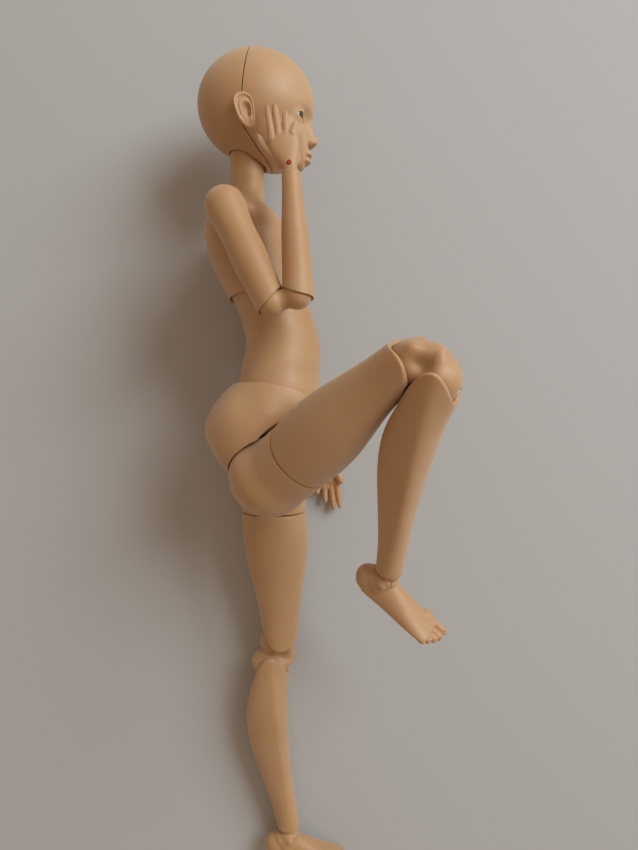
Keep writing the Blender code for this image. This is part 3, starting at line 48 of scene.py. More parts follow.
# Camera: straight above the doll, as it lies on its side, with the crown at the top of the
# picture. It stands over a point in front of the waist, where the middle of the photograph is.
CAMERA_AHEAD = 22 * MM
CAMERA_BELOW = 18 * MM
CAMERA_RISE = 352 * MM
FOCAL_PIXELS = 638
PICTURE_HEIGHT_PIXELS = 850
SENSOR_MM = 36.0

joints = {joint["name"]: joint for joint in frame["joints"]}


def joint_place(name):
    return Vector(joints[name]["pos_m"])


def joint_axis(name):
    # Every hinge of a limb, turned so that its axis points to the doll's right
    axis = Vector(joints[name]["axis"])
    return axis if axis.z > 0 else -axis


def linked(thing):
    bpy.context.scene.collection.objects.link(thing)
    return thing


camera = linked(bpy.data.objects.new("camera", bpy.data.cameras.new("camera")))
camera.data.sensor_fit = "VERTICAL"
camera.data.sensor_height = SENSOR_MM
camera.data.lens = SENSOR_MM * FOCAL_PIXELS / PICTURE_HEIGHT_PIXELS
camera.data.clip_start = MM
camera.location = joint_place("waist_bend") + Vector((CAMERA_AHEAD, -CAMERA_BELOW, CAMERA_RISE))
bpy.context.scene.camera = camera
bpy.context.scene.view_settings.view_transform = "Standard"

# Board and light: a plain pale surface under the doll, a large soft lamp at the upper right
# of the picture and even light from all round.
BOARD_HALF = 1.6
BOARD_DROP = 0.2 * MM
BOARD_COLOUR = (0.50, 0.495, 0.495)
BOARD_ROUGHNESS = 0.9
ROOM_COLOUR = (1, 0.75, 0.54, 1)
ROOM_LIGHT = 0.38
KEY_PLACE = (1.3, 1.05, 1.3)
KEY_SIZE = 1.2
KEY_WATTS = 37.0
KEY_COLOUR = (0.84, 0.95, 1)


def shader_of(material):
    return material.node_tree.nodes["Principled BSDF"]


def plain_material(name, colour, roughness, metallic=0.0):
    made = bpy.data.materials.new(name)
    made.use_nodes = True
    shader = shader_of(made)
    shader.inputs["Base Color"].default_value = (*colour, 1)
    shader.inputs["Roughness"].default_value = roughness
    shader.inputs["Metallic"].default_value = metallic
    return made


board_mesh = bpy.data.meshes.new("board")
board_builder = bmesh.new()
bmesh.ops.create_grid(board_builder, x_segments=1, y_segments=1, size=BOARD_HALF)
bmesh.ops.translate(board_builder, vec=(0, 0, -BOARD_DROP), verts=board_builder.verts)
board_builder.to_mesh(board_mesh)
board_builder.free()
board = linked(bpy.data.objects.new("board", board_mesh))
board_mesh.materials.append(plain_material("board_paper", BOARD_COLOUR, BOARD_ROUGHNESS))

world = bpy.data.worlds.new("room")
world.use_nodes = True
room = world.node_tree.nodes["Background"]
room.inputs["Color"].default_value = ROOM_COLOUR
room.inputs["Strength"].default_value = ROOM_LIGHT
bpy.context.scene.world = world
key = linked(bpy.data.objects.new("key", bpy.data.lights.new("key", "AREA")))
key.data.size = KEY_SIZE
key.data.energy = KEY_WATTS
key.data.color = KEY_COLOUR
key.location = KEY_PLACE
key.rotation_euler = Vector(KEY_PLACE).to_track_quat("Z", "Y").to_euler()

# Resin: the doll is cast in warm tan resin and left unpainted. The surface is matt, with a
# faint mottle and fine sanding marks, and painted shade darkens the colour in the hollows.
CLOUD = (14.0, 3.0, 0.5)
MOTTLE = (48.0, 6.0, 0.6)
SANDING = (420.0, 4.0, 0.7)
GRAIN = (2600.0, 2.0, 0.5)
CLOUD_RANGE = (0.3, 0.7, 0.0, 1.0)
MOTTLE_RANGE = (0.35, 0.75, 0.0, 0.35)
# Painted shade: how far the colour goes towards the dark hollow colour where the surface turns inwards
HOLLOW_SHADE_RANGE = (0.40, 0.48, 0.55, 0.0)
ROUGHNESS_RANGE = (0.3, 0.7, 0.49, 0.65)
GRAIN_STRENGTH, GRAIN_HEIGHT = 0.35, 0.02 * MM
SANDING_STRENGTH, SANDING_HEIGHT = 0.25, 0.08 * MM
RESIN_GLOW = 0.35
RESIN_LOOK = (("Subsurface Radius", (1.0, 0.36, 0.12)), ("Subsurface Scale", 5 * MM),
              ("Specular IOR Level", 0.6), ("Sheen Weight", 0.26), ("Sheen Roughness", 0.6),
              ("Sheen Tint", (1, 0.95, 0.86, 1)), ("Coat Weight", 0.35), ("Coat Roughness", 0.55))


# The hollow colour is painted shade, laid into the hollows where shade falls
def resin_finish(name, light, deep, hollow, glow=RESIN_GLOW):
    made = plain_material(name, light, ROUGHNESS_RANGE[2])
    tree = made.node_tree
    shader = shader_of(made)
    place = tree.nodes.new("ShaderNodeTexCoord")

    def noise(scale, detail, roughness):
        node = tree.nodes.new("ShaderNodeTexNoise")
        for socket, value in (("Scale", scale), ("Detail", detail), ("Roughness", roughness)):
            node.inputs[socket].default_value = value
        tree.links.new(place.outputs["Object"], node.inputs["Vector"])
        return node.outputs["Fac"]

    def stretched(source, limits):
        node = tree.nodes.new("ShaderNodeMapRange")
        for socket, value in zip(("From Min", "From Max", "To Min", "To Max"), limits):
            node.inputs[socket].default_value = value
        tree.links.new(source, node.inputs["Value"])
        return node.outputs["Result"]

    def mixed(factor, one, two):
        node = tree.nodes.new("ShaderNodeMix")
        node.data_type = "RGBA"
        for socket, value in ((0, factor), (6, one), (7, two)):
            if isinstance(value, tuple):
                node.inputs[socket].default_value = value
            else:
                tree.links.new(value, node.inputs[socket])
        return node.outputs[2]

    def bumped(source, strength, height, under=None):
        node = tree.nodes.new("ShaderNodeBump")
        node.inputs["Strength"].default_value = strength
        node.inputs["Distance"].default_value = height
        tree.links.new(source, node.inputs["Height"])
        if under is not None:
            tree.links.new(under, node.inputs["Normal"])
        return node.outputs["Normal"]

    sanding = noise(*SANDING)
    form = tree.nodes.new("ShaderNodeNewGeometry")
    colour = mixed(stretched(noise(*CLOUD), CLOUD_RANGE), (*light, 1), (*deep, 1))
    colour = mixed(stretched(noise(*MOTTLE), MOTTLE_RANGE), colour, (*deep, 1))
    # Painted shade: the hollows are darkened towards the hollow colour, as shade falls there
    colour = mixed(stretched(form.outputs["Pointiness"], HOLLOW_SHADE_RANGE), colour, (*hollow, 1))
    tree.links.new(colour, shader.inputs["Base Color"])
    tree.links.new(stretched(sanding, ROUGHNESS_RANGE), shader.inputs["Roughness"])
    normal = bumped(noise(*GRAIN), GRAIN_STRENGTH, GRAIN_HEIGHT)
    normal = bumped(sanding, SANDING_STRENGTH, SANDING_HEIGHT, normal)
    tree.links.new(normal, shader.inputs["Normal"])
    shader.inputs["Subsurface Weight"].default_value = glow
    for socket, value in RESIN_LOOK:
        shader.inputs[socket].default_value = value
    return made


# The third colour of each is the painted shade of its hollows
body_resin = resin_finish("body_resin", (0.56, 0.335, 0.165), (0.46, 0.232, 0.082), (0.21, 0.048, 0.008))
head_resin = resin_finish("head_resin", (0.575, 0.345, 0.17), (0.47, 0.238, 0.085), (0.21, 0.048, 0.008))
nail_resin = resin_finish("nail_resin", (0.56, 0.35, 0.19), (0.49, 0.28, 0.13), (0.24, 0.09, 0.03), 0.0)


# Torso: chest with the neck, abdomen and pelvis, cast as three hollow resin shells. Each rounded
# end turns in its neighbour's cup, and the elastic inside pulls them together.
def in_mm(*rows):
    return tuple(tuple(value * MM for value in row) for row in rows)


# A station gives a height, with the back, the front and half the width there, and a form gives
# its place, its reach and how far it stands out
TORSO_SIDES = 64
TUBE_SIDES = 24
TORSO_GAP = 0.65 * MM
RIB_RADIUS = 22 * MM
RIB_HALF = 26.2 * MM
RIB_FROM_WAIST = (-5.5 * MM, 44 * MM)
WAIST_RADIUS = 23 * MM
WAIST_HALF = 27 * MM
DOME_EDGE = 8 * MM
NECK_BALL = 9.4 * MM
NECK_FROM_RIB = (-12.2 * MM, 84.2 * MM, 0)
CORD_WAY = 2.4 * MM
ARM_BORE = 1.9 * MM
SHOULDER_BALL = 10.4 * MM
SHOULDER_FORWARD, SHOULDER_UP, SHOULDER_OUT = -18.9 * MM, 46.2 * MM, 36 * MM
HIP_BALL = 21.5 * MM
HIP_FROM_WAIST = (-3 * MM, -44 * MM, 24 * MM)
CHEST_STATIONS = in_mm((4, -20.6, 20.2, 24.2), (15, -26, 19.4, 25.2), (26, -31.5, 15.5, 25.6),
                       (40, -34.5, 12, 25.6), (50, -34, 7, 29), (55, -30.5, 1.5, 23), (60, -25, -2, 14),
                       (66, -22.2, -2.6, 10), (75, -21.4, -2.8, 9.2))
CHEST_HOLLOW = in_mm((-6, 26, 0), (13, 26, 18))
CHEST_FORM = ((-4, 55, 9, 5, 0.7), (-3, 53.5, 17, 5, 0.7), (0, 57, 0, 3.6, -1.0),
              (-33, 36, 13, 9, 1.1), (-35, 34, 0, 6, -1.0))
BELLY_STATIONS = in_mm((52, -26, 15, 24.2), (42, -21.5, 18.5, 23.4), (30, -18.6, 22, 23.4),
                       (17, -19.6, 23, 25), (9, -21.2, 22.2, 25.9))
BELLY_HOLLOW = ((-17 * MM, 0, CORD_WAY, CORD_WAY),
                *in_mm((0, 0, 14, 16), (30, -2.75, 14, 16), (44, -5.5, 14, 16)),
                (61 * MM, -5.5 * MM, CORD_WAY, CORD_WAY))
BELLY_FORM = ((24, 19, 0, 1.7, -1.3), (24, 19, 0, 3.2, 0.35), (-20, 26, 0, 6, -0.9))
PELVIS_STATIONS = in_mm((-1, -26, 25.6, 30), (-7, -32.5, 24.5, 32.5), (-16, -38, 20, 34.5),
                        (-25, -39, 15, 35), (-35, -35, 9.5, 32), (-46, -26, 3.5, 24), (-54, -16, -4, 9))
PELVIS_RIM = (-8.5 * MM, 3.5 * MM, 2.5 * MM)
PELVIS_FORM = ((-40, -22, 0, 4.5, -2.2), (-34, -38, 0, 5, -2.4), (-37, -22, 14, 11, 1.2),
               (12, -6, 29, 7, 1.0), (-13, -5, 29, 8, -1.7), (-4, -12, 32, 6, 0.9), (-25, -16, 27, 9, 0.8),
               (-27, -37, 25, 11, 2.6), (-15, -33, 33, 9, 1.0))
PELVIS_CORD_END = -47.8 * MM
RIM_SOFT = 0.3 * MM
SHARP_TURN = radians(38)
RIM_TURN = radians(42)


def frame_of(place, along, side):
    # A limb's own axes: X to its front, Y to the doll's right, Z away from the body
    down = along.normalized()
    front = side.cross(down).normalized()
    made = Matrix((front, down.cross(front), down)).transposed().to_4x4()
    made.translation = place
    return made


def at_joint(name):
    return Matrix.Translation(joint_place(name))


def circle(sides, place):
    return [place(2 * pi * step / sides) for step in range(sides)]


def sheath(rings, closed=True):
    # Rings of the same count, laid as circles and bridged one to the next
    builder = bmesh.new()
    loops = []
    for points in rings:
        verts = bmesh.ops.create_circle(builder, cap_ends=False, segments=len(points), radius=MM)["verts"]
        for vert, point in zip(verts, points):
            vert.co = point
        loops.append([builder.edges.get((vert, verts[step - 1])) for step, vert in enumerate(verts)])
    spans = list(zip(loops, loops[1:]))
    if closed:
        spans.append((loops[-1], loops[0]))
    for near, far in spans:
        bmesh.ops.bridge_loops(builder, edges=near + far)
    if not closed:
        bmesh.ops.holes_fill(builder, edges=loops[0] + loops[-1])
    return builder


def blended(stations, place):
    # Smooth values between stations, by a cubic through the neighbours
    last = len(stations) - 1
    index = 0
    rising = stations[-1][0] > stations[0][0]
    while index < last - 1 and (place > stations[index + 1][0]) == rising:
        index += 1
    one, two = stations[index], stations[index + 1]
    before, after = stations[max(index - 1, 0)], stations[min(index + 2, last)]
    span = two[0] - one[0]
    share = min(max((place - one[0]) / span, 0), 1)
    square = share * share
    cube = square * share
    values = []
    for field in range(1, len(one)):
        start_rate = (two[field] - before[field]) / (two[0] - before[0]) * span
        end_rate = (after[field] - one[field]) / (after[0] - one[0]) * span
        values.append((2 * cube - 3 * square + 1) * one[field] + (cube - 2 * square + share) * start_rate
                      + (3 * square - 2 * cube) * two[field] + (cube - square) * end_rate)
    return values


def rim_height(heights, angle):
    front, back, side = heights
    mean = (front + back) / 2
    return (mean + side) / 2 + (front - back) / 2 * cos(angle) + (mean - side) / 2 * cos(2 * angle)


def level(value):
    return lambda angle: value


def torso_ring(values, up_of):
    back, front, half = values
    middle, depth = (front + back) / 2, (front - back) / 2
    return circle(TORSO_SIDES, lambda angle: Vector((
        middle + depth * cos(angle), up_of(angle), half * sin(angle))))


def torso_rings(stations, rows, start_of=None):
    near, far = stations[0][0], stations[-1][0]
    start_of = start_of or level(near)
    rings = []
    for share in [row / rows for row in range(rows + 1)]:
        rings.append(torso_ring(blended(stations, near + (far - near) * share),
                                lambda angle: start_of(angle) + (far - start_of(angle)) * share))
    return rings


def dome_rings(centre, radius, half, facing, last_height, count=8):
    # A rounded end, from the cord's way at its pole down to its last height
    first, last = acos(sqrt(1 - (CORD_WAY / radius) ** 2)), acos(last_height / radius)
    rings = []
    for step in range(count):
        polar = first + (last - first) * step / count
        spread = radius * sin(polar)
        rings.append(torso_ring((centre[0] - spread, centre[0] + spread, half * sin(polar)),
                                level(centre[1] + facing * radius * cos(polar))))
    return rings


def egg(centre, sizes):
    builder = bmesh.new()
    bmesh.ops.create_uvsphere(builder, u_segments=TORSO_SIDES, v_segments=TORSO_SIDES // 2, radius=1)
    bmesh.ops.scale(builder, vec=sizes, verts=builder.verts)
    bmesh.ops.translate(builder, vec=centre, verts=builder.verts)
    return builder


def globe(centre, radius):
    return egg(centre, (radius,) * 3)


def tube(start, end, radius):
    builder = bmesh.new()
    span = Vector(end) - Vector(start)
    turn = span.to_track_quat("Z", "Y").to_matrix().to_4x4()
    turn.translation = (Vector(start) + Vector(end)) / 2
    bmesh.ops.create_cone(builder, cap_ends=True, segments=TUBE_SIDES, radius1=radius, radius2=radius,
                          depth=span.length, matrix=turn)
    return builder


def both_sides(forms):
    # Forms on one side and their mirror images; a form in the middle stays one
    return [*forms, *[(forward, up, -out, *rest) for forward, up, out, *rest in forms if out]]


def swell(builder, forms):
    # Low forms on a skin: each lifts it along its normal, most at its centre
    spots = [(Vector(form[:3]) * MM, form[3] * MM, form[4] * MM) for form in forms]
    builder.normal_update()
    for vert in builder.verts:
        vert.co += vert.normal * sum(height * exp(-((vert.co - spot).length / reach) ** 2)
                                     for spot, reach, height in spots)


def bare_object(name, builder, where=None):
    if where:
        bmesh.ops.transform(builder, matrix=where, verts=builder.verts)
    bmesh.ops.recalc_face_normals(builder, faces=builder.faces[:])
    if builder.calc_volume(signed=True) < 0:
        bmesh.ops.reverse_faces(builder, faces=builder.faces[:])
    mesh = bpy.data.meshes.new(name)
    builder.to_mesh(mesh)
    builder.free()
    return linked(bpy.data.objects.new(name, mesh))


def mounted(made, body, nodes):
    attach(made, body)
    if nodes:
        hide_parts(*nodes)


def finished(name, builder, body, nodes, material, where=None, levels=1):
    made = bare_object(name, builder, where)
    made.data.shade_smooth()
    made.data.materials.append(material)
    if levels:
        finer = made.modifiers.new("finer", "SUBSURF")
        finer.levels = levels
        finer.render_levels = levels
    mounted(made, body, nodes)


def settled(made):
    # Keep what the piece's steps have made of it
    mesh = bpy.data.meshes.new_from_object(made.evaluated_get(bpy.context.evaluated_depsgraph_get()))
    made.modifiers.clear()
    made.data = mesh
    return mesh


def carved(target, builders, where):
    # Cut the shapes out of the piece for good, then drop them
    cutters = [bare_object(target.name + "_cut", builder, where) for builder in builders]
    for cutter in cutters:
        step = target.modifiers.new("cut", "BOOLEAN")
        step.operation = "DIFFERENCE"
        step.solver = "EXACT"
        step.object = cutter
    settled(target)
    for cutter in cutters:
        bpy.data.objects.remove(cutter)


def dressed(target, body, nodes, material, soft=RIM_SOFT):
    # Smooth shading, a small round on every cut rim, and the place in the frame
    mesh = target.data
    mesh.materials.clear()
    mesh.materials.append(material)
    mesh.shade_smooth()
    mesh.set_sharp_from_angle(angle=SHARP_TURN)
    if soft:
        rim = target.modifiers.new("rim", "BEVEL")
        rim.width = soft
        rim.segments = 2
        rim.limit_method = "ANGLE"
        rim.angle_limit = RIM_TURN
        rim.harden_normals = True
    mounted(target, body, nodes)


rib_frame, waist_frame = at_joint("rib_bend"), at_joint("waist_bend")
rings = torso_rings(CHEST_STATIONS, 40)
rings += reversed(dome_rings(NECK_FROM_RIB, NECK_BALL, NECK_BALL, 1, -NECK_BALL / 2))
builder = sheath(rings, closed=False)
swell(builder, both_sides(CHEST_FORM))
chest = bare_object("chest_shell", builder, rib_frame)
cuts = [egg((0, 0, 0), (RIB_RADIUS + TORSO_GAP, RIB_RADIUS + TORSO_GAP, RIB_HALF + TORSO_GAP)),
        egg(*CHEST_HOLLOW)]
shoulders = [(SHOULDER_FORWARD, SHOULDER_UP, side * SHOULDER_OUT) for side, side_name in SIDES]
cuts += [globe(shoulder, SHOULDER_BALL + TORSO_GAP) for shoulder in shoulders]
cuts.append(tube(*reversed(shoulders), ARM_BORE))
cuts.append(tube((NECK_FROM_RIB[0], CHEST_HOLLOW[0][1], 0), (NECK_FROM_RIB[0], 95 * MM, 0), CORD_WAY))
carved(chest, cuts, rib_frame)
dressed(chest, "chest", ["chest"], body_resin)

rings = dome_rings(RIB_FROM_WAIST, RIB_RADIUS, RIB_HALF, 1, DOME_EDGE, 10)
rings += torso_rings(BELLY_STATIONS, 26)
rings += reversed(dome_rings((0, 0), WAIST_RADIUS, WAIST_HALF, -1, -DOME_EDGE, 12))
rings += [torso_ring((forward - depth, forward + depth, half), level(up))
          for up, forward, depth, half in BELLY_HOLLOW]
builder = sheath(rings)
swell(builder, BELLY_FORM)
abdomen = bare_object("abdomen_shell", builder, waist_frame)
dressed(abdomen, "abdomen", ["abdomen"], body_resin, 0)

rings = torso_rings(PELVIS_STATIONS, 30, lambda angle: rim_height(PELVIS_RIM, angle))
builder = sheath(rings, closed=False)
swell(builder, both_sides(PELVIS_FORM))
pelvis = bare_object("pelvis_shell", builder, waist_frame)
THIGH_TURNS = ((0, 0), (65, 20), (133, 37.5))
THIGH_ROOM_RINGS = in_mm((8, 19.7, 1.8), (60, 19.6, 1.5))


def hip_centre(side):
    forward, up, out = HIP_FROM_WAIST
    return forward, up, side * out


def thigh_room(side):
    # The room that hip cap and thigh need from hanging straight to fully raised
    builder = bmesh.new()
    for turn, lift in THIGH_TURNS:
        flat = cos(radians(lift))
        along = Vector((flat * sin(radians(turn)), -flat * cos(radians(turn)), sin(radians(lift))))
        spin = frame_of((0, 0, 0), along, Vector((0, 0, 1)))
        for reach, radius, setback in THIGH_ROOM_RINGS:
            bmesh.ops.create_circle(builder, cap_ends=False, segments=48, radius=radius,
                                    matrix=spin @ Matrix.Translation((-setback, 0, reach)))
    hull = bmesh.ops.convex_hull(builder, input=builder.verts[:])
    loose = {item for item in hull["geom_interior"] + hull["geom_unused"]
             if isinstance(item, bmesh.types.BMVert)}
    bmesh.ops.delete(builder, geom=list(loose), context="VERTS")
    spare = [face for face in builder.faces if face not in hull["geom"]]
    bmesh.ops.delete(builder, geom=spare, context="FACES_ONLY")
    bmesh.ops.scale(builder, vec=(1, 1, side), verts=builder.verts)
    bmesh.ops.translate(builder, vec=hip_centre(side), verts=builder.verts)
    return builder


cuts = [egg((0, 0, 0), (WAIST_RADIUS + TORSO_GAP, WAIST_RADIUS + TORSO_GAP, WAIST_HALF + TORSO_GAP))]
for side, side_name in SIDES:
    cuts += [thigh_room(side), globe(hip_centre(side), HIP_BALL + TORSO_GAP)]
cuts.append(tube((0, PELVIS_CORD_END, 0), (0, 0, 0), CORD_WAY))
carved(pelvis, cuts, waist_frame)
dressed(pelvis, "pelvis", ["pelvis"], body_resin)

# Head: two thin resin shells held together by magnets, a back that sits on the neck ball and a
# faceplate with the ears. The modeller's form is one smooth egg with a small open mouth, a short
# nose and lids over glass eyes; sizes here are in millimetres from the middle of the neck ball.
HEAD_MIDDLE = np.array((6.0, 22.0, 0.0))
FACE_WAY = Vector((1, -0.36, 0)).normalized()
FACE_FINER = 0.46
FIRST_REACH, REACH_STEPS, REACH_SHARE = 52.0, 48, 0.85
EYE_PLACE = (24.9, 18.6, 11.0)
EYE_RADIUS = 6.0
EYE_ROOM = 0.1
EYE_HALF = 5.7
EYE_DROP = 0.6
UPPER_LID, LOWER_LID = 2.5, 1.7
LID_POWER = 1.1
LID_TILT = 0.1
LID_THICK = 0.75
LIP_CURVE = 0.075
LIP_LIFT = 0.02
SEAM_LINE = ((8.2, 100), (0.2, 24), (0.3, 9.5), (8.2, -0.8), (20, -12), (20, -60))
SEAM_HALF_GAP = 0.3
PAST_HEAD = 90
HEAD_HOLLOW = in_mm((5, 29.6, 0), (28.4, 24, 24))
NECK_MOUTH = 12.6 * MM
NECK_MOUTH_DEPTH = 11 * MM
HEAD_CORD_WAY = 6.4 * MM


def egg_field(points, centre, sizes):
    away = (points - np.array(centre)) / np.array(sizes)
    near = np.linalg.norm(away, axis=1)
    return near * (near - 1) / np.maximum(np.linalg.norm(away / np.array(sizes), axis=1), 1e-6)


def rod_field(points, ends, radius):
    start, span = np.array(ends[0]), np.array(ends[1]) - np.array(ends[0])
    share = np.clip((points - start) @ span / (span @ span), 0, 1)
    return np.linalg.norm(points - start - share[:, None] * span, axis=1) - radius


def melted(one, two, blend):
    share = np.clip(0.5 + 0.5 * (one - two) / blend, 0, 1)
    return one + (two - one) * share - blend * share * (1 - share)


def scooped(one, two, blend):
    return -melted(-one, two, blend)


# Each form of the head: its name, how it joins what is there, its kind, place, size and blend
SKULL = ((5, 29.2, 0), (32, 29.6, 27.5))
HEAD_FORMS = (("cheeks", melted, egg_field, (15, 7.5, 0), (18.2, 13.6, 18.2), 7),
              ("cheekbone", melted, egg_field, (20.5, 9, 10.5), (10, 8.5, 7.6), 4),
              ("muzzle", melted, egg_field, (26, 2.4, 0), (7.6, 7.4, 9), 4),
              ("chin", melted, egg_field, (26.4, -2.2, 0), (5.6, 4.2, 6.4), 3),
              ("eye hollow", scooped, egg_field, (36.6, 18.6, 10.5), (6.2, 4.6, 7.6), 4),
              ("brow", melted, rod_field, ((31.5, 25.6, 5), (28.6, 26, 14.5)), 1.6, 3),
              ("lids", melted, egg_field, EYE_PLACE, (EYE_RADIUS + LID_THICK,) * 3, 1.2),
              ("nose", melted, rod_field, ((33.2, 19, 0), (36, 11, 0)), 1.7, 3),
              ("nose tip", melted, egg_field, (36.4, 9.9, 0), (2.8, 2.6, 2.7), 1.8),
              ("nose wing", melted, egg_field, (34.8, 8.7, 3), (2.2, 1.7, 1.5), 1.1),
              ("nostril", scooped, egg_field, (36.2, 7.2, 1.45), (0.95, 0.8, 0.75), 0.5),
              ("groove under the nose", scooped, rod_field, ((35.9, 6.4, 0), (36.1, 3.8, 0)), 0.45, 1.2),
              ("lip, upper", melted, egg_field, (34.2, 2.6, 0), (1.9, 1.35, 6), 0.8),
              ("lip, lower", melted, egg_field, (33.4, -1.0, 0), (1.9, 1.5, 5.2), 0.8),
              ("lip parting", scooped, egg_field, (36, 0.85, 0), (3.4, 0.42, 5.6), 0.5),
              ("hollow over the chin", scooped, egg_field, (33.6, -3.6, 0), (1.7, 0.9, 4), 1.4))


def head_field(points):
    even = points * (1, 1, 0) + np.abs(points) * (0, 0, 1)
    square = even[:, 2] ** 2
    lips = even + np.column_stack((LIP_CURVE * square, LIP_LIFT * square, np.zeros(len(even))))
    field = egg_field(even, *SKULL)
    for name, joined, kind, place, size, blend in HEAD_FORMS:
        field = joined(field, kind(lips if name.startswith("lip") else even, place, size), blend)
    return field


def head_form():
    builder = bmesh.new()
    bmesh.ops.create_icosphere(builder, subdivisions=6, radius=1)
    ways = []
    for vert in builder.verts:
        angle = FACE_WAY.angle(vert.co, 0)
        nearer = angle - FACE_FINER * sin(angle)
        across = vert.co - FACE_WAY * vert.co.dot(FACE_WAY)
        if across.length > 1e-6:
            across = across.normalized() * sin(nearer)
        ways.append(FACE_WAY * cos(nearer) + across)
    ways = np.array(ways)
    reach = np.full(len(ways), FIRST_REACH)
    for _ in range(REACH_STEPS):
        reach -= REACH_SHARE * head_field(HEAD_MIDDLE + ways * reach[:, None])
    for vert, place in zip(builder.verts, (HEAD_MIDDLE + ways * reach[:, None]) * MM):
        vert.co = place
    return builder


def prism(outline, low, high):
    # A flat outline in the plane of face and crown, drawn out sideways
    builder = bmesh.new()
    ring = bmesh.ops.create_circle(builder, cap_ends=True, segments=len(outline), radius=MM)["verts"]
    for vert, (forward, up) in zip(ring, outline):
        vert.co = (forward * MM, up * MM, low * MM)
    drawn = bmesh.ops.extrude_face_region(builder, geom=builder.faces[:])
    moved = [item for item in drawn["geom"] if isinstance(item, bmesh.types.BMVert)]
    bmesh.ops.translate(builder, vec=(0, 0, (high - low) * MM), verts=moved)
    return builder


def seam_cutter(shift, far):
    outline = [(forward + shift, up) for forward, up in SEAM_LINE]
    outline += [(far, SEAM_LINE[-1][1]), (far, SEAM_LINE[0][1])]
    return prism(outline, -60, 60)


def eye_opening(side):
    # An almond, a little higher at its outer corner, drawn out forwards
    outline = []
    for step in range(40):
        turn = 2 * pi * step / 40
        lid = UPPER_LID if sin(turn) > 0 else -LOWER_LID
        rise = lid * abs(sin(turn)) ** LID_POWER - EYE_DROP - LID_TILT * cos(turn)
        outline.append((EYE_PLACE[2] + EYE_HALF * cos(turn), EYE_PLACE[1] + rise))
    builder = prism(outline, EYE_PLACE[0], EYE_PLACE[0] + 20)
    swap = Matrix(((0, 0, 1, 0), (0, 1, 0, 0), (side, 0, 0, 0), (0, 0, 0, 1)))
    bmesh.ops.transform(builder, matrix=swap, verts=builder.verts)
    return builder


def eye_centre(side):
    return Vector((EYE_PLACE[0], EYE_PLACE[1], side * EYE_PLACE[2])) * MM


def mouth_of_neck():
    builder = bmesh.new()
    place = Matrix.Translation((0, -NECK_MOUTH_DEPTH / 2, 0)) @ Matrix.Rotation(pi / 2, 4, "X")
    bmesh.ops.create_cone(builder, cap_ends=True, segments=64, radius1=NECK_BALL, radius2=NECK_MOUTH,
                          depth=NECK_MOUTH_DEPTH, matrix=place)
    return builder


nod_frame = at_joint("head_nod")
for name, node, facing in (("head_back_shell", "head_back", -1), ("faceplate_shell", "head_faceplate", 1)):
    shell = bare_object(name, head_form(), nod_frame)
    cuts = [egg(*HEAD_HOLLOW), mouth_of_neck(), globe((0, 0, 0), NECK_BALL + TORSO_GAP),
            tube((0, 0, 0), (0, 14 * MM, 0), HEAD_CORD_WAY),
            seam_cutter(facing * SEAM_HALF_GAP, -facing * PAST_HEAD)]
    if facing > 0:
        for side, side_name in SIDES:
            cuts += [globe(eye_centre(side), (EYE_RADIUS + EYE_ROOM) * MM), eye_opening(side)]
    carved(shell, cuts, nod_frame)
    dressed(shell, "head", [node], head_resin, 0)

# Ears: cast in one with the faceplate, each with a rolled rim, an inner fold and a hollow. Each
# ring of the form is a share of the outline's size with its rise from the head.
EAR_TOP, EAR_FOOT = 23.6, 5.4
EAR_CORE = (3.6, 13.8)
EAR_ROWS = ((0, 4.6, 4.6), (23, 2.6, 6.4), (33, 1.6, 7.0), (60, -1.3, 7.0), (90, -3.1, 6.8),
            (116, -3.9, 6.2), (143, -2.7, 4.8), (160, -1.0, 3.4), (180, 1.2, 1.2))
EAR_RINGS = ((1.03, -2.4), (1.0, 0.3), (0.985, 1.35), (0.945, 1.95), (0.88, 2.05), (0.81, 1.7), (0.75, 0.85),
             (0.68, 0.7), (0.6, 1.15), (0.53, 1.3), (0.45, 0.8), (0.37, -0.5), (0.28, -1.2), (0.18, -1.5),
             (0.06, -1.6))
FLESHY_SHARES = (0.3, 0.99)
LOBE_START, LOBE_GROWTH, LOBE_RISE = 0.35, 2.2, 1.3
FRONT_FLATTER = 0.5
EAR_SWING_FROM, EAR_SWING = 4, 0.24
EAR_OUT, HEAD_CURVE, HEAD_CURVE_UP = 26.5, 0.012, 16


def ear_edge(angle):
    # The outline, by the turn from the lobe at the bottom to the top of the rim
    lift = -sin(angle)
    back, front = blended(EAR_ROWS, degrees(acos(max(min(lift, 1), -1))))
    return (front if cos(angle) > 0 else back), EAR_FOOT + (EAR_TOP - EAR_FOOT) * (1 - lift) / 2


def ear_ring(side, share, rise):
    def place(angle):
        core = Vector(EAR_CORE)
        spot = core + (Vector(ear_edge(angle)) - core) * share
        lobe = min(max(-sin(angle) - LOBE_START, 0) * LOBE_GROWTH, 1)
        fleshy = FLESHY_SHARES[0] < share < FLESHY_SHARES[1]
        height = rise + (LOBE_RISE - rise) * lobe if fleshy else rise
        height *= 1 - FRONT_FLATTER * max(cos(angle), 0) * (1 - lobe)
        swing = max(EAR_SWING_FROM - spot.x, 0) * EAR_SWING
        base = EAR_OUT - HEAD_CURVE * (spot.y - HEAD_CURVE_UP) ** 2
        return Vector((spot.x, spot.y, side * (base + height + swing))) * MM

    return circle(48, place)


for side, side_name in SIDES:
    rings = [ear_ring(side, share, rise) for share, rise in EAR_RINGS]
    finished(side_name + "_ear", sheath(rings, closed=False), "head", [], head_resin, nod_frame)

